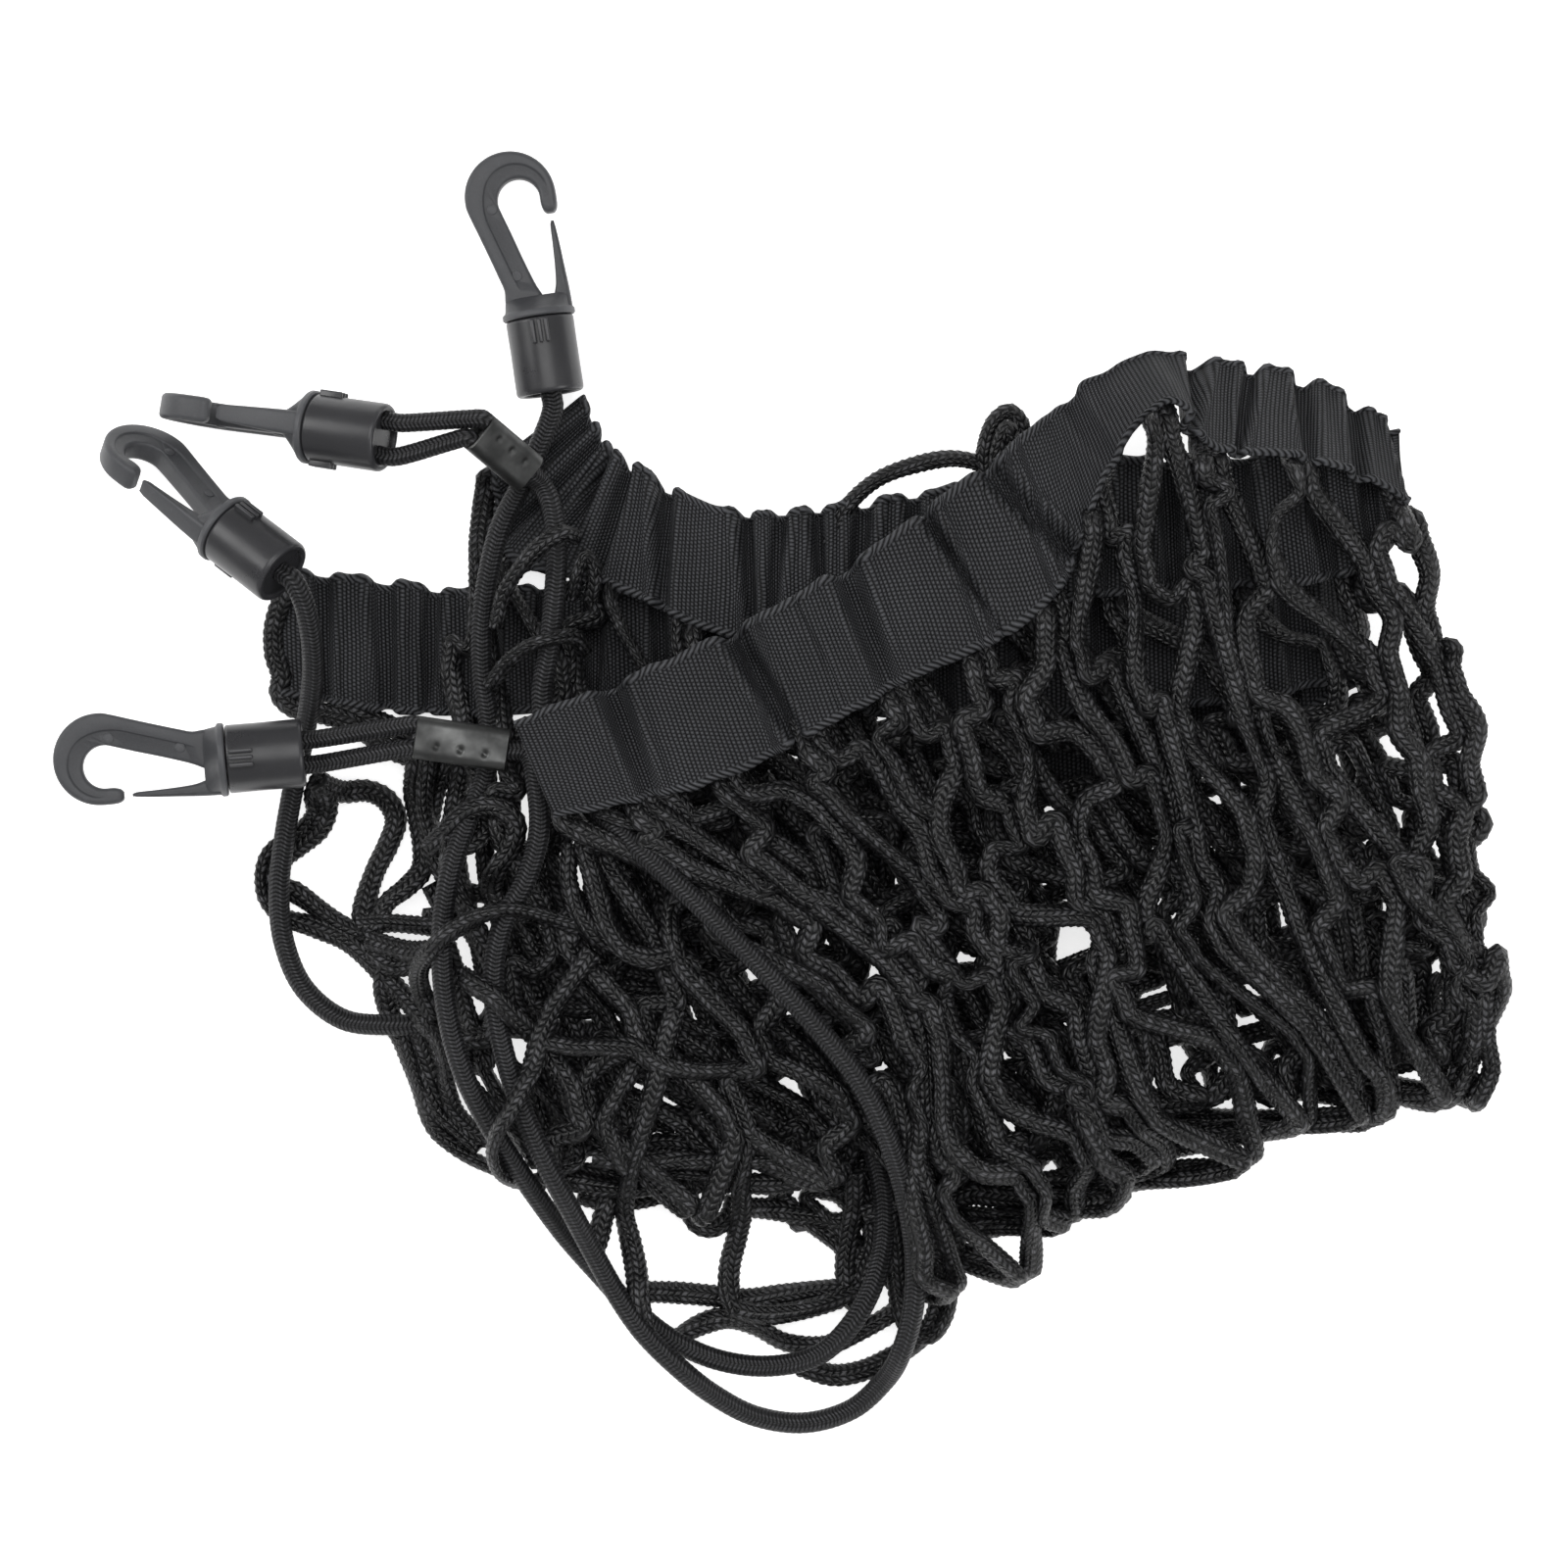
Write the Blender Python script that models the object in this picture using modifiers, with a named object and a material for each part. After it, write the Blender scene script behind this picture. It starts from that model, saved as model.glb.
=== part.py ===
"""Cargo net, lying in a heap as it is put down.

A diamond-mesh net is folded in four layers. Gathered webbing binds both long edges, shock
cord runs along both short edges, and a moulded hook with a round cap hangs at each corner.
Metres, +Z up. The origin is on the table, under the middle of the heap.
"""

import math
import random
from collections import namedtuple

import bmesh
import bpy
from mathutils import Matrix, Vector

MM = 0.001

# ---- driving sizes ------------------------------------------------------------------------
TWINE_THICK = 5.0 * MM          # braided twine, across
COLUMNS = 44                    # half diamonds along the net, 22 diamonds
ROWS = 12                       # half diamonds across the net, 6 diamonds
FOLD_COLUMN = 22                # where the net turns back on itself, at the right
FOLD_ROW = 6                    # where it turns under itself, at the bottom
KNOT_JITTER = 1.8 * MM          # how unevenly the knots lie
EDGE_SWING = 0.1                # share of that unevenness left at the net's edges
BAR_SLACK = 1.6 * MM            # how far an upper bar bows sideways
FOLD_DROP = 0.12                # share of the drop to the bottom fold, one knot before it
RISE_ROWS = 3                   # rows over which a layer rises from the webbing to its middle
TABLE_CUT = (0.6, 0.6, 0.05)    # block under the table's plane that trims the net flat

WEBBING_THICK = 2.4 * MM
GATHER_HEIGHT = 3.6 * MM        # rise of a gather at the free edge of the webbing
GATHERS = 38                    # gathers along one long edge
STEPS_PER_GATHER = 5
GATHER_SPREAD = 0.3             # how much the gathers differ in width
LOW_GATHER = 0.65               # height of the lowest gather, as a share of the highest
GATHER_ROUNDNESS = 0.7          # below 1 the backs of the gathers are broad
BOUND_SWELL = 0.25              # share of a gather's rise at the edge sewn to the net
END_SWELL = 0.3                 # and at the webbing's ends
CALM_COLUMNS = 2.5              # columns over which the gathers die down to a fold or an end
WEBBING_BANDS = 2               # facets across the webbing
EDGE_CLEARANCE = 3.6 * MM      # webbing's edge to the centre of the outer knots

CORD_D = 6.0 * MM               # shock cord
TAIL_D = 4.7 * MM               # the same cord where it is drawn thin behind a hook
GAP = 0.3 * MM                  # between pieces that touch
WELD = 0.01 * MM

HOOK_THICK = 7.0 * MM
HOOK_EDGE = 0.4 * MM
HEAD_CENTRE = (-3.0 * MM, 34.5 * MM)
HEAD_R = 12.6 * MM
EYE_CENTRE = (-0.8 * MM, 33.3 * MM)
EYE_R = 5.9 * MM
COLLAR_R = 10.2 * MM
COLLAR_H = 2.0 * MM
BASE_TOP_R = 6.4 * MM
BASE_TOP_Y = 6.2 * MM
CAP_R = 9.4 * MM
CAP_L = 21.0 * MM
CAP_MOUTH_R = 7.4 * MM
CAP_MOUTH_DEPTH = 1.6 * MM
CAP_EDGE = 0.6 * MM
RIB_PAD = (5.0 * MM, 6.6 * MM, 1.2 * MM)   # width, length, height of the pad on the cap
PAD_SINK = 1.0 * MM             # how deep the pad is rooted in the cap

FERRULE_WIDE = 11.8 * MM
FERRULE_THICK = 7.0 * MM
FERRULE_ROUND = 2.0 * MM

# ---- where things lie ---------------------------------------------------------------------
# The heap is laid out on a square plan of 1600 x 1600 units seen from EYE_HEIGHT above its
# middle: x runs right, y runs down, and one unit is PLAN_UNIT at LEVEL_HEIGHT.
PLAN_UNIT = 0.27 * MM
EYE_HEIGHT = 1.5
LEVEL_HEIGHT = 20 * MM
PLAN_MIDDLE = 800
ORIGIN_X = -1.2 * MM            # the middle of the heap, from the middle of the plan
ORIGIN_Y = 8.9 * MM

# One row for each section across the heap, by the number of its column of knots. Each place
# is plan x, plan y and height in mm. upper and lower are the edges of the front webbing,
# middle and fold lie in the upper layers, and the last three lie in the layers underneath.
Section = namedtuple(
    "Section", "column upper lower middle fold under_middle under_lower under_upper")
SECTIONS = (
    Section(0, (523, 735, 43), (566, 835, 40), (835, 1040, 38.5), (955, 1348, 20),
            (650, 1325, 1.6), (650, 1005, 1.6), (600, 880, 1.5)),
    Section(4, (695, 665, 43), (742, 793, 40), (903, 985, 38.5), (1014, 1288, 20),
            (820, 1213, 1.6), (770, 932, 1.6), (722, 812, 1.5)),
    Section(8, (862, 575, 43), (912, 703, 40), (997, 947, 38.5), (1112, 1238, 20),
            (948, 1145, 1.6), (893, 878, 1.6), (862, 748, 1.5)),
    Section(12, (1018, 462, 42), (1072, 615, 41), (1104, 907, 38.5), (1213, 1188, 20),
            (1052, 1092, 1.6), (1018, 838, 1.6), (1003, 702, 1.5)),
    Section(15, (1110, 393, 33), (1142, 468, 45), (1190, 865, 38.5), (1300, 1165, 20),
            (1150, 1040, 1.6), (1127, 808, 1.6), (1120, 672, 1.5)),
    Section(16.5, (1168, 366, 38), (1196, 414, 50), (1246, 850, 38.5), (1350, 1142, 20),
            (1210, 1010, 1.6), (1187, 792, 1.6), (1180, 655, 1.5)),
    Section(18, (1240, 370, 28), (1236, 462, 44), (1310, 845, 38.5), (1400, 1135, 20),
            (1272, 980, 1.6), (1247, 772, 1.6), (1240, 635, 1.5)),
    Section(20, (1332, 388, 22), (1330, 472, 40), (1400, 842, 38.5), (1455, 1135, 20),
            (1362, 940, 2.4), (1318, 737, 2.0), (1308, 600, 2.0)),
    Section(22, (1420, 438, 24), (1436, 520, 31), (1512, 840, 32), (1505, 1115, 20),
            (1478, 880, 8.5), (1395, 690, 8.5), (1375, 560, 8.5)),
    Section(24, (1362, 452, 22), (1380, 588, 26), (1445, 850, 26), (1455, 1085, 20),
            (1380, 892, 15), (1285, 716, 15), (1283, 580, 14)),
    Section(28, (1140, 468, 24), (1142, 608, 26), (1245, 864, 26), (1278, 1118, 20.5),
            (1178, 924, 15), (1075, 731, 15), (1073, 594, 14)),
    Section(33, (905, 505, 25), (905, 640, 26), (1000, 900, 26), (1060, 1180, 20.5),
            (930, 965, 15), (827, 729, 13), (825, 592, 12)),
    Section(37, (745, 518, 22), (742, 650, 24), (795, 924, 26), (862, 1213, 20.5),
            (727, 981, 15), (628, 725, 10), (626, 588, 7.5)),
    Section(40, (648, 472, 12), (618, 598, 18), (640, 880, 26), (695, 1225, 20.5),
            (556, 992, 15), (484, 732, 6), (482, 600, 4)),
    Section(42, (620, 436, 4), (530, 535, 9), (534, 845, 25), (572, 1205, 20.5),
            (436, 985, 14), (387, 727, 4), (385, 588, 4)),
    Section(44, (600, 405, 1.6), (505, 455, 1.8), (444, 830, 23), (456, 1158, 19),
            (326, 948, 12), (288, 712, 4), (281, 578, 4)),
)

# Hooks: plan x and y of the cap's mouth, its height, and how the hook points and is turned.
# heading is measured from +X in the plan, pitch is up from the table, and roll is about the
# hook's own axis, with 0 for the flat side up and the gate at the right of the heading.
HookPlace = namedtuple("HookPlace", "number x y z heading pitch roll")
HOOKS = (
    HookPlace(1, 562, 402, 10.7, 98.5, 0, 0),
    HookPlace(2, 393, 447, 33.2, 170.7, -18, -90),
    HookPlace(3, 289, 585, 34.2, 143, -20, -125),
    HookPlace(4, 310, 768, 27.5, 185, 4, 180),
)

# Ferrules: the hook that each belongs to, and the plan places of its two ends.
FerrulePlace = namedtuple("FerrulePlace", "number near far")
FERRULES = (
    FerrulePlace(2, (487, 439, 35.5), (538, 482, 21.8)),
    FerrulePlace(4, (424, 752, 31), (519, 766, 31)),
)
TAIL_SPREAD = {2: 4.7 * MM, 4: 3.4 * MM}   # half the distance between two tails at the cap
TAIL_PINCH = 3.3 * MM                     # and at the ferrule

# Routes of the two shock cords, between the pieces that hold their ends.
NEAR_ROUTE = (                             # from ferrule 4 to ferrule 2
    (549, 815, 31.5), (550, 850, 32), (543, 885, 32), (522, 922, 32), (506, 965, 32),
    (504, 1015, 32), (512, 1065, 31.5), (530, 1125, 31), (556, 1185, 30), (585, 1240, 25),
    (615, 1290, 18), (650, 1340, 15.5), (675, 1370, 15.5), (702, 1397, 13), (725, 1420, 8.5),
    (757, 1440, 4.5), (805, 1452, 3.2), (860, 1443, 3.2), (903, 1408, 9), (922, 1374, 20),
    (932, 1335, 22.8), (936, 1285, 21.5), (930, 1225, 25.5), (905, 1150, 31.5),
    (875, 1100, 32), (835, 1055, 32), (780, 992, 32), (710, 920, 32), (650, 865, 32),
    (605, 820, 32), (570, 775, 32), (553, 735, 32), (556, 690, 31.5), (563, 640, 29),
    (567, 580, 25), (567, 530, 22),
)
FAR_ROUTE = (                              # from cap 1 to cap 3
    (546, 465, 12.2), (528, 503, 14), (508, 545, 19), (494, 600, 22), (478, 650, 26.8),
    (456, 702, 28.9), (449, 737, 23.1), (444, 790, 22), (441, 840, 25), (445, 890, 30),
    (450, 940, 32), (452, 1000, 32), (464, 1070, 31.5), (485, 1122, 30), (510, 1165, 26.5),
    (540, 1210, 20.5), (575, 1258, 12),
    (612, 1300, 8.5), (640, 1330, 8.5), (672, 1358, 8.5), (712, 1380, 8.5), (765, 1394, 8.5),
    (830, 1385, 11), (868, 1352, 14.5), (892, 1308, 13), (902, 1262, 10), (900, 1212, 8.6),
    (888, 1165, 8.6), (862, 1120, 8.6), (820, 1085, 8.6), (760, 1062, 8.6), (690, 1055, 8.6),
    (610, 1052, 8.6), (540, 1050, 7.8), (480, 1046, 6.6), (430, 1043, 5), (395, 1046, 3.3),
    (355, 1042, 3.2), (320, 1020, 3.2), (296, 982, 3.2), (285, 930, 3.2), (287, 880, 3.2),
    (293, 840, 4), (300, 800, 7), (308, 762, 11), (315, 725, 15.5), (319, 690, 21.5),
    (318, 655, 28), (312, 622, 33),
)
CORD_STEP = 14 * MM
CORD_LEAD = 5 * MM              # straight run of a cord out of the piece that holds it
LEAD_CLEAR = 1.5                # the smooth run starts this many leads away

PLASTIC = (0.035, 0.036, 0.038)
CAP_PLASTIC = (0.022, 0.022, 0.024)
TWINE_BLACK = (0.012, 0.012, 0.013)
WEBBING_BLACK = (0.016, 0.016, 0.017)
CORD_BLACK = (0.014, 0.014, 0.015)
ZINC = (0.30, 0.30, 0.29)


def clear_scene():
    for old in list(bpy.data.objects):
        bpy.data.objects.remove(old)


def make_collections():
    parts = bpy.data.collections.new("cargo_net")
    cutters = bpy.data.collections.new("cutters")
    for collection in (parts, cutters):
        bpy.context.scene.collection.children.link(collection)
    return parts, cutters


def material(name, colour, roughness, metallic=0.0):
    found = bpy.data.materials.get(name)
    if found:
        return found
    made = bpy.data.materials.new(name)
    made.use_nodes = True
    shader = made.node_tree.nodes["Principled BSDF"]
    shader.inputs["Base Color"].default_value = (*colour, 1.0)
    shader.inputs["Roughness"].default_value = roughness
    shader.inputs["Metallic"].default_value = metallic
    return made


def add_object(name, data, finish, collection):
    data.materials.clear()
    data.materials.append(finish)
    made = bpy.data.objects.new(name, data)
    collection.objects.link(made)
    return made


def evaluated_mesh(source):
    """The mesh of an object after its modifiers, with loose caps welded."""
    bpy.context.view_layer.update()
    graph = bpy.context.evaluated_depsgraph_get()
    mesh = bpy.data.meshes.new_from_object(source.evaluated_get(graph))
    work = bmesh.new()
    work.from_mesh(mesh)
    bmesh.ops.remove_doubles(work, verts=work.verts, dist=WELD)
    work.to_mesh(mesh)
    work.free()
    return mesh


# ---- plan and curves ----------------------------------------------------------------------
ROUTE_SAMPLES = 1200
COLUMN_SAMPLES = 60


def place(x, y, z):
    """World position of a plan place; z is in mm."""
    height = z * MM
    unit = PLAN_UNIT * (EYE_HEIGHT - height) / (EYE_HEIGHT - LEVEL_HEIGHT)
    return Vector(((x - PLAN_MIDDLE) * unit - ORIGIN_X, (PLAN_MIDDLE - y) * unit - ORIGIN_Y, height))


def hermite(p0, p1, m0, m1, t):
    t2, t3 = t * t, t * t * t
    return p0 * (2 * t3 - 3 * t2 + 1) + m0 * (t3 - 2 * t2 + t) + p1 * (3 * t2 - 2 * t3) + m1 * (t3 - t2)


def smooth_through(stations, points, at):
    """Point at a station on the smooth curve through points, with its slope kept gentle."""
    last = len(stations) - 1
    k = 0
    while k < last - 1 and at > stations[k + 1]:
        k += 1

    def slope(n):
        lo, hi = max(n - 1, 0), min(n + 1, last)
        return (points[hi] - points[lo]) / (stations[hi] - stations[lo])

    span = stations[k + 1] - stations[k]
    return hermite(points[k], points[k + 1], slope(k) * span, slope(k + 1) * span,
                   (at - stations[k]) / span)


def line_of(column_name):
    """One lengthwise line of the heap as a function of the column of knots."""
    stations = [row.column for row in SECTIONS]
    points = [place(*getattr(row, column_name)) for row in SECTIONS]
    return lambda column: smooth_through(stations, points, column)


def smooth_route(points, step):
    """Evenly spaced points on the smooth curve through a route."""
    reach = [0.0]
    for a, b in zip(points, points[1:]):
        reach.append(reach[-1] + (b - a).length)
    fine = [smooth_through(reach, points, reach[-1] * n / ROUTE_SAMPLES) for n in range(ROUTE_SAMPLES + 1)]
    walked = [0.0]
    for a, b in zip(fine, fine[1:]):
        walked.append(walked[-1] + (b - a).length)
    count = max(3, round(walked[-1] / step))
    even, n = [], 0
    for k in range(count + 1):
        goal = walked[-1] * k / count
        while n < len(fine) - 2 and walked[n + 1] < goal:
            n += 1
        share = (goal - walked[n]) / max(walked[n + 1] - walked[n], 1e-12)
        even.append(fine[n].lerp(fine[n + 1], min(max(share, 0.0), 1.0)))
    return even


def led_route(points, step):
    """As smooth_route, with a straight first and last run, square to the pieces they meet."""
    even = smooth_route(points, step)
    first, second, last_but_one, last = points[0], points[1], points[-2], points[-1]
    clear_of_first = (second - first).length * LEAD_CLEAR
    clear_of_last = (last - last_but_one).length * LEAD_CLEAR
    kept = [p for p in even if (p - first).length > clear_of_first and (p - last).length > clear_of_last]
    return [first, second] + kept + [last_but_one, last]


# ---- net ----------------------------------------------------------------------------------
LINES = {name: line_of(name) for name in Section._fields[1:]}


def webbing_edges(column, side):
    """The free edge and the net's edge of the webbing at a column."""
    if side == "front":
        return LINES["upper"](column), LINES["lower"](column)
    return LINES["under_upper"](column), LINES["under_lower"](column)


def net_edge(column, side):
    """Centre of the outer knots, just past the webbing's edge."""
    free, bound = webbing_edges(column, side)
    return bound + (bound - free).normalized() * EDGE_CLEARANCE


def column_path(column, upper):
    """Plan curve of one column of knots, from the webbing to the bottom fold, sampled."""
    fold = LINES["fold"](column)
    if upper:
        edge, middle = net_edge(column, "front"), LINES["middle"](column)
    else:
        edge, middle = net_edge(column, "rear"), LINES["under_middle"](column)
    samples = []
    for n in range(COLUMN_SAMPLES + 1):
        t = n / COLUMN_SAMPLES
        point = edge * (2 * (t - 0.5) * (t - 1)) + middle * (4 * t * (1 - t)) + fold * (2 * t * (t - 0.5))
        samples.append(point.xy)
    return samples, edge.z, middle.z, fold.z


def along(samples, share):
    lengths = [0.0]
    for a, b in zip(samples, samples[1:]):
        lengths.append(lengths[-1] + (b - a).length)
    goal = share * lengths[-1]
    for n in range(len(samples) - 1):
        if lengths[n + 1] >= goal:
            t = (goal - lengths[n]) / max(lengths[n + 1] - lengths[n], 1e-12)
            return samples[n].lerp(samples[n + 1], t)
    return samples[-1]


def knot_place(column, row):
    """Where a knot lies, before it is jittered."""
    upper = row <= FOLD_ROW
    steps_from_edge = row if upper else ROWS - row
    samples, edge_z, middle_z, fold_z = column_path(column, upper)
    flat = along(samples, steps_from_edge / FOLD_ROW)
    if steps_from_edge == FOLD_ROW:
        height = fold_z
    elif steps_from_edge == FOLD_ROW - 1:
        height = middle_z + (fold_z - middle_z) * FOLD_DROP
    else:
        rise = math.sin(math.pi / 2 * min(steps_from_edge / RISE_ROWS, 1))
        height = edge_z + (middle_z - edge_z) * rise
    return Vector((flat.x, flat.y, height))


def build_net(parts, cutters):
    """The net as a lattice of diamonds whose bars are thickened by a wireframe."""
    rng = random.Random(11)
    knots = {}
    for column in range(COLUMNS + 1):
        for row in range(ROWS + 1):
            if (column + row) % 2:
                continue
            knot = knot_place(column, row)
            on_edge = column in (0, COLUMNS) or row in (0, ROWS)
            swing = KNOT_JITTER * (EDGE_SWING if on_edge else 1.0)
            knot.x += rng.uniform(-1, 1) * swing
            knot.y += rng.uniform(-1, 1) * swing
            knots[column, row] = knot
    work = bmesh.new()
    verts = {}

    def knot_vert(key):
        if key not in verts:
            verts[key] = work.verts.new(knots[key])
        return verts[key]

    def bar_vert(a, b):
        """A point half-way along an upper bar, bowed sideways."""
        key = tuple(sorted((a, b)))
        if key not in verts:
            middle = (knots[a] + knots[b]) / 2
            along_bar = (knots[b] - knots[a]).normalized()
            side = along_bar.cross(Vector((0, 0, 1))).normalized()
            verts[key] = work.verts.new(middle + side * rng.uniform(-1, 1) * BAR_SLACK)
        return verts[key]

    for column in range(1, COLUMNS):
        for row in range(1, ROWS):
            if (column + row) % 2 == 0:
                continue
            corners = ((column - 1, row), (column, row - 1), (column + 1, row), (column, row + 1))
            loop = []
            for a, b in zip(corners, corners[1:] + corners[:1]):
                loop.append(knot_vert(a))
                if max(a[0], b[0]) <= FOLD_COLUMN and max(a[1], b[1]) <= FOLD_ROW:
                    loop.append(bar_vert(a, b))
            work.faces.new(loop)
    mesh = bpy.data.meshes.new("net")
    work.to_mesh(mesh)
    work.free()
    net = add_object("net", mesh, material("net_twine", TWINE_BLACK, 0.45), parts)
    wire = net.modifiers.new("twine", "WIREFRAME")
    wire.thickness = TWINE_THICK
    wire.use_boundary = True
    wire.use_even_offset = False
    table = bpy.data.meshes.new("table_cutter")
    work = bmesh.new()
    bmesh.ops.create_cube(work, size=1.0)
    work.to_mesh(table)
    work.free()
    cutter = add_object("table_cutter", table, material("guide", (1, 0, 0), 1.0), cutters)
    cutter.scale = TABLE_CUT
    cutter.location = (0, 0, -TABLE_CUT[2] / 2)
    cutter.hide_render = True
    cutter.display_type = "WIRE"
    flat = net.modifiers.new("lies_flat", "BOOLEAN")
    flat.operation = "DIFFERENCE"
    flat.object = cutter
    return net


# ---- webbing ------------------------------------------------------------------------------
def gather_wave(rng):
    """Places along the webbing, 0 to 1, each with the height of its gather there, 0 to 1."""
    widths = [rng.uniform(1 - GATHER_SPREAD, 1 + GATHER_SPREAD) for _ in range(GATHERS)]
    wave, start = [], 0.0
    for width in widths:
        height = rng.uniform(LOW_GATHER, 1.0)
        for step in range(STEPS_PER_GATHER):
            share = step / STEPS_PER_GATHER
            back = math.sin(math.pi * share) ** GATHER_ROUNDNESS
            wave.append(((start + width * share) / sum(widths), height * back))
        start += width
    return wave + [(1.0, 0.0)]


def build_webbing(name, side, seed, parts):
    """A gathered band: flat along the net, and lifted in folds at its free edge."""
    wave = gather_wave(random.Random(seed))
    work = bmesh.new()
    sections = []
    for at, height in wave:
        column = at * COLUMNS
        free, bound = webbing_edges(column, side)
        ahead = webbing_edges(min(column + 0.5, COLUMNS), side)
        behind = webbing_edges(max(column - 0.5, 0), side)
        run = (ahead[0] + ahead[1] - behind[0] - behind[1]).normalized()
        across = (free - bound).normalized()
        lift = run.cross(across).normalized()
        if lift.z < 0:
            lift = -lift
        from_fold = abs(column - FOLD_COLUMN) / CALM_COLUMNS
        from_end = min(column, COLUMNS - column) / CALM_COLUMNS
        calm = min(1.0, from_fold, END_SWELL + (1 - END_SWELL) * from_end)
        swell = GATHER_HEIGHT * height * calm
        section = []
        for band in range(WEBBING_BANDS + 1):
            share = band / WEBBING_BANDS
            rise = BOUND_SWELL + (1 - BOUND_SWELL) * share
            point = bound.lerp(free, share) + lift * swell * rise
            section.append(work.verts.new(point))
        sections.append(section)
    for a, b in zip(sections, sections[1:]):
        for band in range(WEBBING_BANDS):
            work.faces.new((a[band], b[band], b[band + 1], a[band + 1]))
    bmesh.ops.recalc_face_normals(work, faces=work.faces)
    mesh = bpy.data.meshes.new(name)
    work.to_mesh(mesh)
    work.free()
    webbing = add_object(name, mesh, material("webbing", WEBBING_BLACK, 0.7), parts)
    thick = webbing.modifiers.new("thickness", "SOLIDIFY")
    thick.thickness = WEBBING_THICK
    thick.offset = 0
    return webbing


# ---- hooks --------------------------------------------------------------------------------
def arc(centre, radius, start, end, steps):
    points = []
    for n in range(steps + 1):
        angle = math.radians(start + (end - start) * n / steps)
        points.append((centre[0] + radius * math.cos(angle), centre[1] + radius * math.sin(angle)))
    return points


def hook_outline():
    """Flat outline of the hook: x towards the gate, y along its axis from the cap."""
    neck = [(-7.0, 1.2), (-8.7, 4.4), (-8.4, 8.6), (-9.4, 12.6)]
    nose = [(9.6, 31.0), (9.2, 29.2), (8.4, 28.6), (6.5, 28.6), (5.6, 29.4), (5.2, 31.0)]
    spine = [(0.2, 9.6), (1.0, 7.2), (2.4, 5.9), (4.9, 5.9), (6.2, 7.2)]
    gate = [(6.6, 14.0), (6.9, 25.8), (7.4, 26.4), (8.0, 25.6), (8.9, 16.0), (9.4, 7.0), (8.0, 1.2)]
    in_metres = [[(x * MM, y * MM) for x, y in run] for run in (neck, nose, spine, gate)]
    neck, nose, spine, gate = in_metres
    head = arc(HEAD_CENTRE, HEAD_R, 195, 0, 14)
    eye = arc(EYE_CENTRE, EYE_R, 0, 190, 10)
    return neck + head + nose + eye + spine + gate


def make_hook_mesh(cutters):
    """One moulding: a flat hook with its gate finger, on a tapered base and a collar."""
    outline = hook_outline()
    curve = bpy.data.curves.new("hook_plate", "CURVE")
    curve.dimensions = "2D"
    curve.fill_mode = "BOTH"
    curve.extrude = HOOK_THICK / 2 - HOOK_EDGE
    curve.bevel_depth = HOOK_EDGE
    curve.bevel_resolution = 0
    curve.offset = -HOOK_EDGE
    spline = curve.splines.new("POLY")
    spline.points.add(len(outline) - 1)
    for point, (x, y) in zip(spline.points, outline):
        point.co = (x, y, 0, 1)
    spline.use_cyclic_u = True
    plate_curve = bpy.data.objects.new("hook_plate", curve)
    cutters.objects.link(plate_curve)
    plate = bpy.data.objects.new("hook_plate_mesh", evaluated_mesh(plate_curve))
    bpy.data.objects.remove(plate_curve)
    base_mesh = bpy.data.meshes.new("hook_base")
    work = bmesh.new()
    along_axis = Matrix.Rotation(math.radians(-90), 4, "X")
    collar_at = Matrix.Translation((0, GAP + COLLAR_H / 2, 0)) @ along_axis
    bmesh.ops.create_cone(work, cap_ends=True, segments=24, radius1=COLLAR_R, radius2=COLLAR_R,
                          depth=COLLAR_H, matrix=collar_at)
    work.to_mesh(base_mesh)
    work.free()
    base = bpy.data.objects.new("hook_collar", base_mesh)
    cone_mesh = bpy.data.meshes.new("hook_cone")
    work = bmesh.new()
    bottom = GAP + COLLAR_H * 0.6
    cone_at = Matrix.Translation((0, (bottom + BASE_TOP_Y) / 2, 0)) @ along_axis
    bmesh.ops.create_cone(work, cap_ends=True, segments=20, radius1=CAP_R - 0.3 * MM,
                          radius2=BASE_TOP_R, depth=BASE_TOP_Y - bottom, matrix=cone_at)
    work.to_mesh(cone_mesh)
    work.free()
    cone = bpy.data.objects.new("hook_cone", cone_mesh)
    for piece in (plate, base, cone):
        cutters.objects.link(piece)
    for other in (base, cone):
        joined = plate.modifiers.new("moulded_with_" + other.name, "BOOLEAN")
        joined.operation = "UNION"
        joined.object = other
    mesh = evaluated_mesh(plate)
    for piece in (plate, base, cone):
        bpy.data.objects.remove(piece)
    return mesh


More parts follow.
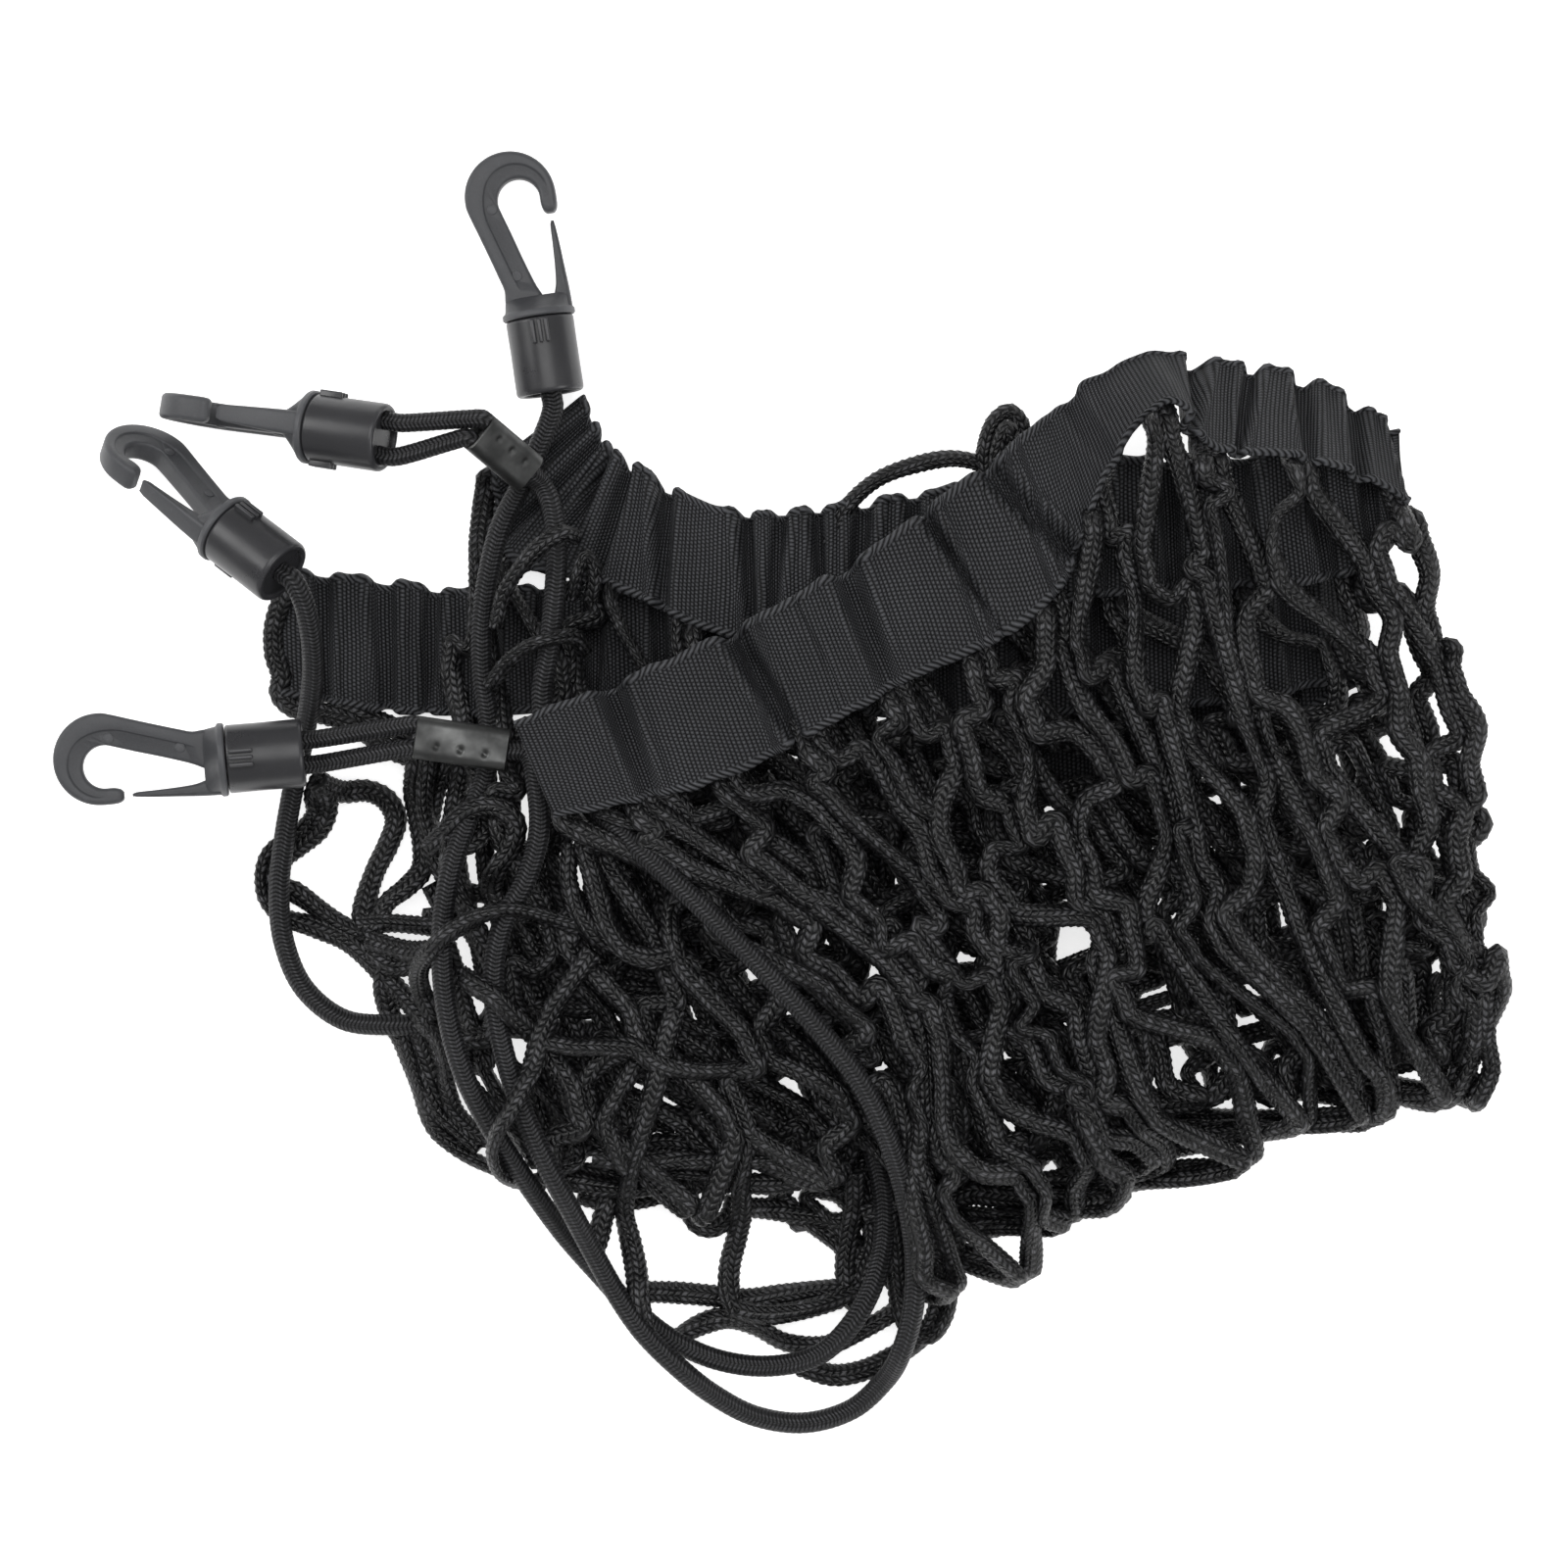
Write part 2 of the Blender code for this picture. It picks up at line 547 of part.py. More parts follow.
def make_cap_mesh(cutters):
    """A turned cap with a shallow mouth for the cords, and two pads of grip ribs."""
    r, e = CAP_R, CAP_EDGE
    profile = [(0, 0), (r - e, 0), (r, -e), (r, e - CAP_L), (r - e, -CAP_L), (CAP_MOUTH_R, -CAP_L),
               (CAP_MOUTH_R, CAP_MOUTH_DEPTH - CAP_L), (0, CAP_MOUTH_DEPTH - CAP_L)]
    work = bmesh.new()
    verts = [work.verts.new((x, 0, z)) for x, z in profile]
    for a, b in zip(verts, verts[1:]):
        work.edges.new((a, b))
    mesh = bpy.data.meshes.new("cap_profile")
    work.to_mesh(mesh)
    work.free()
    cap = bpy.data.objects.new("cap_profile", mesh)
    cutters.objects.link(cap)
    turned = cap.modifiers.new("turned", "SCREW")
    turned.steps = turned.render_steps = 24
    turned.use_merge_vertices = True
    turned.merge_threshold = WELD
    turned.use_normal_calculate = True
    pads_mesh = bpy.data.meshes.new("cap_pads")
    work = bmesh.new()
    width, length, height = RIB_PAD
    for side in (-1, 1):
        at = Matrix.Translation((0, side * (r + (height - PAD_SINK) / 2), -length / 2 - e))
        size = Matrix.Diagonal((width, height + PAD_SINK, length, 1))
        bmesh.ops.create_cube(work, size=1.0, matrix=at @ size)
    work.to_mesh(pads_mesh)
    work.free()
    pads = bpy.data.objects.new("cap_pads", pads_mesh)
    cutters.objects.link(pads)
    joined = cap.modifiers.new("pads", "BOOLEAN")
    joined.operation = "UNION"
    joined.object = pads
    made = evaluated_mesh(cap)
    made.transform(Matrix.Rotation(math.radians(-90), 4, "X"))
    for piece in (cap, pads):
        bpy.data.objects.remove(piece)
    return made


def hook_frame(hook):
    """Frame of a hook: x to its gate, y along its axis to the head, origin at the cap's top."""
    mouth = place(hook.x, hook.y, hook.z)
    heading, pitch = math.radians(hook.heading), math.radians(hook.pitch)
    turn = Matrix.Rotation(heading - math.pi / 2, 4, "Z") @ Matrix.Rotation(pitch, 4, "X")
    turn = turn @ Matrix.Rotation(math.radians(hook.roll), 4, "Y")
    return Matrix.Translation(mouth) @ turn @ Matrix.Translation((0, CAP_L, 0))


def build_hooks(parts, cutters):
    hook_mesh = make_hook_mesh(cutters)
    cap_mesh = make_cap_mesh(cutters)
    for mesh in (hook_mesh, cap_mesh):
        mesh.shade_smooth()
        mesh.set_sharp_from_angle(angle=math.radians(35))
    frames = {}
    for hook in HOOKS:
        frames[hook.number] = hook_frame(hook)
        body = add_object("hook_%d" % hook.number, hook_mesh, material("hook_plastic", PLASTIC, 0.5), parts)
        cap = add_object("cap_%d" % hook.number, cap_mesh, material("cap_plastic", CAP_PLASTIC, 0.35), parts)
        body.matrix_world = frames[hook.number]
        cap.matrix_world = frames[hook.number]
    return frames


# ---- ferrules and cords -------------------------------------------------------------------
def ferrule_frame(ferrule):
    """Frame of a ferrule: x from its near end to its far end, z across its flat side."""
    near, far = place(*ferrule.near), place(*ferrule.far)
    run = (far - near).normalized()
    side = Vector((0, 0, 1)).cross(run).normalized()
    lift = run.cross(side)
    turn = Matrix((run, side, lift)).transposed().to_4x4()
    return Matrix.Translation((near + far) / 2) @ turn, (far - near).length


def build_ferrules(parts):
    frames = {}
    for ferrule in FERRULES:
        frame, length = ferrule_frame(ferrule)
        work = bmesh.new()
        size = Matrix.Diagonal((length, FERRULE_WIDE, FERRULE_THICK, 1))
        bmesh.ops.create_cube(work, size=1.0, matrix=size)
        mesh = bpy.data.meshes.new("ferrule_%d" % ferrule.number)
        work.to_mesh(mesh)
        work.free()
        made = add_object(mesh.name, mesh, material("ferrule_zinc", ZINC, 0.45, 1.0), parts)
        made.matrix_world = frame
        rounded = made.modifiers.new("rounded", "BEVEL")
        rounded.width = FERRULE_ROUND
        rounded.segments = 3
        rounded.limit_method = "WEIGHT"
        weights = mesh.attributes.new("bevel_weight_edge", "FLOAT", "EDGE")
        for edge in mesh.edges:
            a, b = (mesh.vertices[n].co for n in edge.vertices)
            weights.data[edge.index].value = 1.0 if abs(a.x - b.x) > length / 2 else 0.0
        frames[ferrule.number] = frame, length
    return frames


def build_cord(name, points, diameter, parts):
    """A run of cord as a round tube with closed ends."""
    curve = bpy.data.curves.new(name, "CURVE")
    curve.dimensions = "3D"
    curve.bevel_depth = diameter / 2
    curve.bevel_resolution = 2
    curve.use_fill_caps = True
    curve.twist_mode = "MINIMUM"
    spline = curve.splines.new("POLY")
    spline.points.add(len(points) - 1)
    for point, at in zip(spline.points, points):
        point.co = (*at, 1)
    return add_object(name, curve, material("shock_cord", CORD_BLACK, 0.55), parts)


def build_cords(hooks, ferrules, parts):
    """Two tails from each ferrule to its hook, and the cord along each short edge."""
    mouth_y = CAP_MOUTH_DEPTH - CAP_L - GAP

    def from_cap(number, side, reach):
        return hooks[number] @ Vector((side, mouth_y - reach, 0))

    def from_cap_level(number, side, reach):
        """As from_cap, with the two tails side by side as seen from above."""
        frame = hooks[number]
        back = -(frame.to_3x3() @ Vector((0, 1, 0)))
        across = Vector((0, 0, 1)).cross(back).normalized()
        return frame @ Vector((0, mouth_y, 0)) + back * reach + across * side

    def from_ferrule(number, end, side, reach):
        frame, length = ferrules[number]
        return frame @ Vector((end * (length / 2 + GAP + reach), side, 0))

    for number in ferrules:
        for label, side in (("a", 1), ("b", -1)):
            spread = TAIL_SPREAD[number] * side
            pinch = TAIL_PINCH * side
            route = [from_cap_level(number, spread, 0), from_cap_level(number, spread, CORD_LEAD),
                     from_ferrule(number, -1, pinch, CORD_LEAD / 2), from_ferrule(number, -1, pinch, 0)]
            build_cord("tail_%d_%s" % (number, label), led_route(route, CORD_STEP / 2), TAIL_D, parts)
    near = [from_ferrule(4, 1, 0, 0), from_ferrule(4, 1, 0, CORD_LEAD)]
    near += [place(*point) for point in NEAR_ROUTE]
    near += [from_ferrule(2, 1, 0, CORD_LEAD), from_ferrule(2, 1, 0, 0)]
    build_cord("edge_cord_near", led_route(near, CORD_STEP), CORD_D, parts)
    far = [from_cap(1, 0, 0), from_cap(1, 0, CORD_LEAD)]
    far += [place(*point) for point in FAR_ROUTE]
    far += [from_cap(3, 0, CORD_LEAD), from_cap(3, 0, 0)]
    build_cord("edge_cord_far", led_route(far, CORD_STEP), CORD_D, parts)


def main():
    clear_scene()
    parts, cutters = make_collections()
    build_net(parts, cutters)
    build_webbing("webbing_front", "front", 3, parts)
    build_webbing("webbing_rear", "rear", 5, parts)
    hooks = build_hooks(parts, cutters)
    ferrules = build_ferrules(parts)
    build_cords(hooks, ferrules, parts)
    bpy.context.view_layer.update()


main()
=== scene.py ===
import math
import random

import bmesh
import bpy
import numpy as np
from mathutils import Matrix, Vector, noise


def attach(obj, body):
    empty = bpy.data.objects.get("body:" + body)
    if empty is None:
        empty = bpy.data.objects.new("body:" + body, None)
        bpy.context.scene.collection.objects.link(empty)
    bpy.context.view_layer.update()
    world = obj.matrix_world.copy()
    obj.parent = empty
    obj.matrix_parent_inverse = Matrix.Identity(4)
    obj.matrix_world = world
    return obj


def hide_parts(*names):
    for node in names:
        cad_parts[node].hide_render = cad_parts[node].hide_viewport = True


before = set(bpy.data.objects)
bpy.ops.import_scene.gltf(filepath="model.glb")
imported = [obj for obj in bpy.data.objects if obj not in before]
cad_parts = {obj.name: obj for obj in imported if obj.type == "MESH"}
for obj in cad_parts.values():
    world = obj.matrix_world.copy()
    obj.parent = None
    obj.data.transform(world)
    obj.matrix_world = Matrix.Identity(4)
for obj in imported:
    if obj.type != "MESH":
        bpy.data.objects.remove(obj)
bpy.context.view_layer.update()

noise.seed_set(2)  # else the noise vectors differ from run to run
scene = bpy.context.scene
mm = 0.001
print("frame loaded:", len(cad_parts), "solids")

# The heap is laid out on a plan of 1600 x 1600 units, seen from the eye height. Its x runs
# right, its y runs down, and z is a height in mm.
plan = {
    "unit": 0.27 * mm,  # one unit, at the level height
    "eye": 1.5,  # height of the camera, in metres
    "level": 20 * mm,
    "units": 1600,
    "heapX": -1.2 * mm,  # middle of the heap, from the middle of the plan
    "heapY": 8.9 * mm,
}


def place(x, y, z):
    height = z * mm
    unit = plan["unit"] * (plan["eye"] - height) / (plan["eye"] - plan["level"])
    half = plan["units"] / 2
    return np.array(((x - half) * unit - plan["heapX"], (half - y) * unit - plan["heapY"], height))


def addObject(name, data):
    made = bpy.data.objects.new(name, data)
    scene.collection.objects.link(made)
    return made


def addCamera():
    data = bpy.data.cameras.new("camera")
    data.sensor_width = 36
    seen = plan["units"] * plan["unit"]  # width of the view at the level height
    data.lens = data.sensor_width * (plan["eye"] - plan["level"]) / seen
    camera = addObject("camera", data)
    camera.location = (-plan["heapX"], -plan["heapY"], plan["eye"])
    scene.camera = camera


addCamera()
print("camera looks straight down")


class Wire:  # a socket that takes part in sums
    def __init__(self, finish, socket):
        self.finish = finish
        self.socket = socket

    def __add__(self, other):
        return self.finish.maths("ADD", self, other)

    def __radd__(self, other):
        return self.finish.maths("ADD", other, self)

    def __sub__(self, other):
        return self.finish.maths("SUBTRACT", self, other)

    def __rsub__(self, other):
        return self.finish.maths("SUBTRACT", other, self)

    def __mul__(self, other):
        return self.finish.maths("MULTIPLY", self, other)

    def __rmul__(self, other):
        return self.finish.maths("MULTIPLY", other, self)

    def __truediv__(self, other):
        return self.finish.maths("DIVIDE", self, other)

    def __pow__(self, other):
        return self.finish.maths("POWER", self, other)

    def __mod__(self, other):
        return self.finish.maths("FLOORED_MODULO", self, other)


class Finish:  # one material, and the nodes that make it
    def __init__(self, name, roughness=0.5, metallic=0.0, specular=0.5):
        self.material = bpy.data.materials.new(name)
        self.material.use_nodes = True
        self.tree = self.material.node_tree
        self.shader = self.tree.nodes["Principled BSDF"]
        self.shader.inputs["Roughness"].default_value = roughness
        self.shader.inputs["Metallic"].default_value = metallic
        self.shader.inputs["Specular IOR Level"].default_value = specular

    def node(self, kind, settings=None, values=None, out=0):
        made = self.tree.nodes.new(kind)
        for key, value in (settings or {}).items():
            setattr(made, key, value)
        for key, value in (values or {}).items():
            if isinstance(value, Wire):
                self.tree.links.new(value.socket, made.inputs[key])
            else:
                made.inputs[key].default_value = value
        return Wire(self, made.outputs[out])

    def uv(self, name):
        spot = self.node("ShaderNodeUVMap", {"uv_map": name})
        x = self.node("ShaderNodeSeparateXYZ", None, {0: spot})
        return x, Wire(self, x.socket.node.outputs["Y"])

    def spot(self):
        return self.node("ShaderNodeTexCoord", None, None, "Object")

    def maths(self, operation, *values):
        return self.node("ShaderNodeMath", {"operation": operation}, dict(enumerate(values)))

    def sine(self, value):
        return self.maths("SINE", value)

    def whole(self, value):
        return self.maths("FLOOR", value)

    def part(self, value):
        return self.maths("FRACT", value)

    def lesser(self, a, b):
        return self.maths("MINIMUM", a, b)

    def noise(self, scale, detail, at=None, roughness=0.5):
        values = {"Vector": at or self.spot(), "Scale": scale, "Detail": detail, "Roughness": roughness}
        return self.node("ShaderNodeTexNoise", None, values)

    def steps(self, value, low, high, start=0.0, end=1.0):
        values = {"Value": value, "From Min": low, "From Max": high, "To Min": start, "To Max": end}
        return self.node("ShaderNodeMapRange", None, values)

    def blend(self, mask, first, second):
        values = {"Factor": mask, 6: (*first, 1), 7: (*second, 1)}  # 6 and 7 are its two colours
        return self.node("ShaderNodeMix", {"data_type": "RGBA"}, values, 2)

    def show(self, **sockets):
        names = {"colour": "Base Color", "roughness": "Roughness", "normal": "Normal"}
        for key, value in sockets.items():
            self.tree.links.new(value.socket, self.shader.inputs[names[key]])

    def relief(self, height, distance):
        return self.node("ShaderNodeBump", None, {"Height": height, "Distance": distance, "Strength": 1.0})


def braidedFinish(name, look):
    # Yarns cross in columns of Vs, with glints painted into the colour of their tops. The map runs once
    # round the cord, and along it in metres.
    finish = Finish(name, specular=look["specular"])
    around, along = finish.uv("braid")
    columns = around * look["columns"]
    side = finish.part(columns)
    column = finish.whole(columns)
    turn = column % 2
    slant = side + turn * (1 - 2 * side)
    stitch = along / look["pitch"] + slant * look["slant"]
    inStitch = finish.part(stitch)
    cell = finish.node("ShaderNodeCombineXYZ", None, {0: column, 1: finish.whole(stitch)})
    chance = finish.node("ShaderNodeTexWhiteNoise", {"noise_dimensions": "2D"}, {"Vector": cell})
    swell = finish.sine(inStitch * math.pi)
    ridge = finish.sine(side * math.pi) ** look["valley"]
    strands = 0.5 + 0.5 * finish.sine(slant * (2 * math.pi * look["strands"]) + inStitch * 2)
    height = (swell ** 0.7) * ridge * (0.85 + 0.15 * strands)
    fuzz = finish.noise(look["fuzz"], 4)
    patches = finish.noise(look["patches"], 2)
    # painted glint: the colour runs from deep in the grooves to raised on the stitch tops, brightest on a
    # random few stitches and varied by patches, a painted highlight
    paintedGlint = (height ** 3) * (look["even"] + (1.65 - 1.5 * look["even"]) * (chance ** 3))
    paintedGlint = paintedGlint * (0.7 + 0.6 * strands) * (0.5 + patches)
    finish.show(
        colour=finish.blend(finish.steps(paintedGlint, 0.0, 1.0), look["deep"], look["raised"]),
        roughness=finish.steps(chance + fuzz, 0.4, 1.4, *look["rough"]),
        normal=finish.relief(height + 0.08 * fuzz, look["relief"]),
    )
    return finish.material


webbingWide = 38 * mm


def wovenFinish():
    look = {
        "rib": 1.22 * mm,  # from rib to rib, along the webbing
        "bead": 1.15 * mm,  # along a rib
        "relief": 0.42 * mm,
        "cordPitch": 2.1 * mm,  # of its twisted edges
        "cordWide": 2.6 * mm,
        "cordFade": 0.4 * mm,
        "wander": 38, "fuzz": 1300, "patches": 30,
        "rough": (0.45, 0.66),
        # deep is the painted shade between the ribs, raised the painted highlight on their tops
        "deep": (0.0018, 0.0019, 0.0022),
        "raised": (0.092, 0.094, 0.102),
    }
    finish = Finish("wovenWebbing", specular=0.28)
    across, along = finish.uv("weave")
    wander = finish.noise(look["wander"], 2)
    rows = along / look["rib"] + wander * 1.3
    inRow = finish.part(rows)
    shift = (finish.whole(rows) % 2) * 0.5
    inBead = finish.part(across / look["bead"] + shift)
    rib = finish.sine(inRow * math.pi)
    bead = finish.sine(inBead * math.pi)
    flat = (rib ** 0.8) * (0.25 + 0.75 * (bead ** 0.8))
    # the corded edges are twisted
    rim = finish.lesser(across, webbingWide - across)
    twisted = finish.sine(finish.part(along / look["cordPitch"] + rim * 500) * math.pi)
    atRim = finish.steps(rim, look["cordWide"], look["cordWide"] - look["cordFade"])
    height = flat + atRim * (twisted - flat)
    fuzz = finish.noise(look["fuzz"], 4)
    patches = finish.noise(look["patches"], 3)
    # painted light: a painted highlight on the tops of the ribs, the beads and the twisted edges, and
    # painted shade in the grooves between them
    lit = (height ** 1.6) * (0.55 + 0.6 * fuzz) * (0.6 + 0.8 * patches)
    finish.show(
        colour=finish.blend(lit, look["deep"], look["raised"]),
        roughness=finish.steps(fuzz + patches, 0.6, 1.4, *look["rough"]),
        normal=finish.relief(height + 0.1 * fuzz, look["relief"]),
    )
    return finish.material


def mouldedFinish(name, look):
    # Fine spark texture of the mould, rubbed edges and a few dull patches.
    finish = Finish(name, specular=look["specular"])
    grain = finish.noise(look["grain"], 2, roughness=0.6)
    patches = finish.noise(look["patches"], 3)
    scuffs = finish.steps(finish.noise(look["scuffs"], 5, roughness=0.7), 0.58, 0.72)
    edge = finish.node("ShaderNodeNewGeometry", None, None, "Pointiness")
    rubbed = finish.steps(edge, 0.5, 0.58)
    worn = finish.lesser(rubbed * 0.5 + scuffs * 0.25 + grain * 0.25, 1.0)
    finish.show(
        colour=finish.blend(worn, look["colour"], look["worn"]),
        roughness=finish.steps(patches + 0.35 * grain, 0.4, 0.95, *look["rough"]),
        normal=finish.relief(grain + 0.4 * scuffs, look["relief"]),
    )
    return finish.material


def zincFinish():
    look = {
        "brushed": (60, 60, 900),  # stretch of the drawing marks
        "spangle": 260, "stains": 110,
        "dull": (0.045, 0.046, 0.046), "bright": (0.15, 0.152, 0.15),
        "rough": (0.62, 0.34),
        "relief": 0.05 * mm,
    }
    finish = Finish("zincFerrule", metallic=1.0)
    values = {0: finish.spot(), 1: look["brushed"]}
    stretched = finish.node("ShaderNodeVectorMath", {"operation": "MULTIPLY"}, values)
    brushed = finish.noise(6, 3, at=stretched)
    spangle = finish.noise(look["spangle"], 3)
    stains = finish.steps(finish.noise(look["stains"], 4), 0.35, 0.7)
    finish.show(
        colour=finish.blend(0.45 * spangle + 0.55 * stains, look["dull"], look["bright"]),
        roughness=finish.steps(stains + 0.4 * brushed, 0.2, 1.2, *look["rough"]),
        normal=finish.relief(0.5 * brushed + 0.5 * spangle, look["relief"]),
    )
    return finish.material


# slant is how far a stitch leans in its column, even the share of the painted glint that all stitches
# have alike, and valley how sharply the columns part. deep is the dark colour of the grooves and of
# stitches without a glint, raised the colour of the painted glint on the stitch tops.
twineFinish = braidedFinish("braidedTwine", {
    "columns": 10, "pitch": 2.1 * mm, "slant": 0.62, "strands": 3, "relief": 0.45 * mm,
    "fuzz": 1300, "patches": 55, "specular": 0.42, "rough": (0.22, 0.46), "even": 0.09, "valley": 0.5,
    "deep": (0.0045, 0.0045, 0.0049), "raised": (0.105, 0.105, 0.113),
})
# with its high even, nearly every ridge of the cord's cover gets a painted highlight
cordFinish = braidedFinish("shockCordCover", {
    "columns": 8, "pitch": 1.15 * mm, "slant": 0.75, "strands": 2, "relief": 0.26 * mm,
    "fuzz": 1300, "patches": 55, "specular": 0.30, "rough": (0.42, 0.60), "even": 0.8, "valley": 0.14,
    "deep": (0.0020, 0.0020, 0.0023), "raised": (0.064, 0.064, 0.069),
})
webbingFinish = wovenFinish()
hookFinish = mouldedFinish("hookMoulding", {
    "colour": (0.040, 0.041, 0.045), "worn": (0.110, 0.112, 0.120),
    "grain": 1500, "scuffs": 420, "patches": 90,
    "rough": (0.40, 0.56), "relief": 0.05 * mm, "specular": 0.45,
})
capFinish = mouldedFinish("capMoulding", {
    "colour": (0.022, 0.022, 0.024), "worn": (0.062, 0.062, 0.068),
    "grain": 2200, "scuffs": 420, "patches": 90,
    "rough": (0.24, 0.40), "relief": 0.012 * mm, "specular": 0.5,
})
ferruleFinish = zincFinish()
print("finishes made")


def hermite(p0, p1, m0, m1, t):
    t2, t3 = t * t, t * t * t
    return p0 * (2 * t3 - 3 * t2 + 1) + m0 * (t3 - 2 * t2 + t) + p1 * (3 * t2 - 2 * t3) + m1 * (t3 - t2)


def slopeAt(stations, points, n):
    low, high = max(n - 1, 0), min(n + 1, len(stations) - 1)
    return (points[high] - points[low]) / (stations[high] - stations[low])


def smoothThrough(stations, points, at):
    k = 0
    while k < len(stations) - 2 and at > stations[k + 1]:
        k += 1
    span = stations[k + 1] - stations[k]
    slopes = slopeAt(stations, points, k) * span, slopeAt(stations, points, k + 1) * span
    return hermite(points[k], points[k + 1], slopes[0], slopes[1], (at - stations[k]) / span)


def walked(line):
    return np.concatenate(([0.0], np.cumsum(np.linalg.norm(np.diff(line, axis=0), axis=1))))


def evenly(line, step):
    reach = walked(line)
    count = max(4, round(reach[-1] / step))
    goals = np.linspace(0, reach[-1], count + 1)
    return np.stack([np.interp(goals, reach, line[:, axis]) for axis in range(3)], axis=1)


def smoothLine(points, step):
    # Evenly spaced points, step apart, on the smooth curve through the given ones.
    points = np.array(points)
    stations = walked(points)
    pieces = []
    t = np.linspace(0, 1, 14, endpoint=False)[:, None]  # 14 points from each given one to the next
    for k in range(len(points) - 1):
        span = stations[k + 1] - stations[k]
        ahead, after = slopeAt(stations, points, k) * span, slopeAt(stations, points, k + 1) * span
        pieces.append(hermite(points[k], points[k + 1], ahead, after, t))
    return evenly(np.concatenate(pieces + [points[-1:]]), step)


def unit(vectors):
    return vectors / np.maximum(np.linalg.norm(vectors, axis=-1, keepdims=True), 1e-12)


def carried(line, first):
    # Tangents of a line, and a normal that is carried along it without twisting.
    tangents = unit(np.gradient(line, axis=0))
    normals = np.empty_like(line)
    normal = np.array(first, float)
    for n, tangent in enumerate(tangents):
        normal = normal - tangent * (normal @ tangent)
        normal /= max(np.linalg.norm(normal), 1e-9)
        normals[n] = normal
    return tangents, normals


class Skin:  # gathers rings of points into one mesh
    def __init__(self, name, uvName):
        self.name, self.uvName = name, uvName
        self.points, self.quads, self.quadUvs, self.tris = [], [], [], []
        self.count = 0

    def add(self, rings, along, around=None):
        # along holds one value a ring, and around one more value than a ring has points.
        n, k = rings.shape[:2]
        if around is None:
            around = np.linspace(0, 1, k + 1)
        index = self.count + np.arange(n * k).reshape(n, k)
        a, d = index[:-1], index[1:]
        self.quads.append(np.stack((a, np.roll(a, -1, 1), np.roll(d, -1, 1), d), -1).reshape(-1, 4))
        u0, v0 = np.meshgrid(around[:-1], along[:-1])
        u1, v1 = np.meshgrid(around[1:], along[1:])
        self.quadUvs.append(np.stack((u0, v0, u1, v0, u1, v1, u0, v1), -1).reshape(-1, 8))
        ends = np.stack((rings[0].mean(0), rings[-1].mean(0)))
        self.points += [rings.reshape(-1, 3), ends]
        first, last = self.count + n * k, self.count + n * k + 1
        self.tris.append(np.stack((np.roll(index[0], -1), index[0], np.full(k, first)), -1))
        self.tris.append(np.stack((index[-1], np.roll(index[-1], -1), np.full(k, last)), -1))
        self.count += n * k + 2

    def mesh(self):
        points, quads = np.concatenate(self.points), np.concatenate(self.quads)
        tris, uvs = np.concatenate(self.tris), np.concatenate(self.quadUvs)
        mesh = bpy.data.meshes.new(self.name)
        mesh.vertices.add(len(points))
        mesh.vertices.foreach_set("co", points.astype(np.float32).ravel())
        mesh.loops.add(quads.size + tris.size)
        corners = np.concatenate((quads.ravel(), tris.ravel()))
        mesh.loops.foreach_set("vertex_index", corners.astype(np.int32))
        mesh.polygons.add(len(quads) + len(tris))
        starts = np.concatenate((np.arange(len(quads)) * 4, quads.size + np.arange(len(tris)) * 3))
        mesh.polygons.foreach_set("loop_start", starts.astype(np.int32))
        layer = mesh.uv_layers.new(name=self.uvName)
        flat = np.concatenate((uvs.ravel(), np.zeros(tris.size * 2)))
        layer.data.foreach_set("uv", flat.astype(np.float32))
        mesh.update(calc_edges=True)
        mesh.validate()
        mesh.shade_smooth()
        return mesh


def faceOutward(mesh, merge=None):
    work = bmesh.new()
    work.from_mesh(mesh)
    if merge:
        bmesh.ops.remove_doubles(work, verts=work.verts, dist=merge)
    bmesh.ops.recalc_face_normals(work, faces=work.faces)
    work.to_mesh(mesh)
    work.free()


def addPiece(name, mesh, finish, nodes, slot):
    mesh.materials.clear()
    mesh.materials.append(finish)
    piece = addObject(name, mesh)
    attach(piece, "root")
    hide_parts(*nodes)
    return piece


# Where the cap's mouth of each hook lies on the plan. heading is from +X, pitch is up, and
# roll is about the hook's own axis, with 0 for its flat side up and its gate to the right.
hookPlaces = {
    1: {"mouth": (562, 402, 10.7), "heading": 98.5, "pitch": 0, "roll": 0},
    2: {"mouth": (393, 447, 33.2), "heading": 170.7, "pitch": -18, "roll": -90},
    3: {"mouth": (289, 585, 34.2), "heading": 143, "pitch": -20, "roll": -125},
    4: {"mouth": (310, 768, 27.5), "heading": 185, "pitch": 4, "roll": 180},
}
cap = {  # in mm
    "radius": 9.4,
    "length": 21.0,
    "mouth": 7.4,
    "mouthDepth": 1.1,
    "ribs": 3,
    "rib": (1.15, 6.6, 1.2),  # width, length, height
    "ribGap": 1.9,
    "ribSunk": 0.9,  # how deep a rib goes into the cap
}
touch = 0.3 * mm  # between pieces that meet


def hookFrame(number):
    spot = hookPlaces[number]
    turn = Matrix.Rotation(math.radians(spot["heading"] - 90), 4, "Z")
    turn = turn @ Matrix.Rotation(math.radians(spot["pitch"]), 4, "X")
    turn = turn @ Matrix.Rotation(math.radians(spot["roll"]), 4, "Y")
    mouth = Matrix.Translation(Vector(place(*spot["mouth"])))
    return mouth @ turn @ Matrix.Translation((0, cap["length"] * mm, 0))


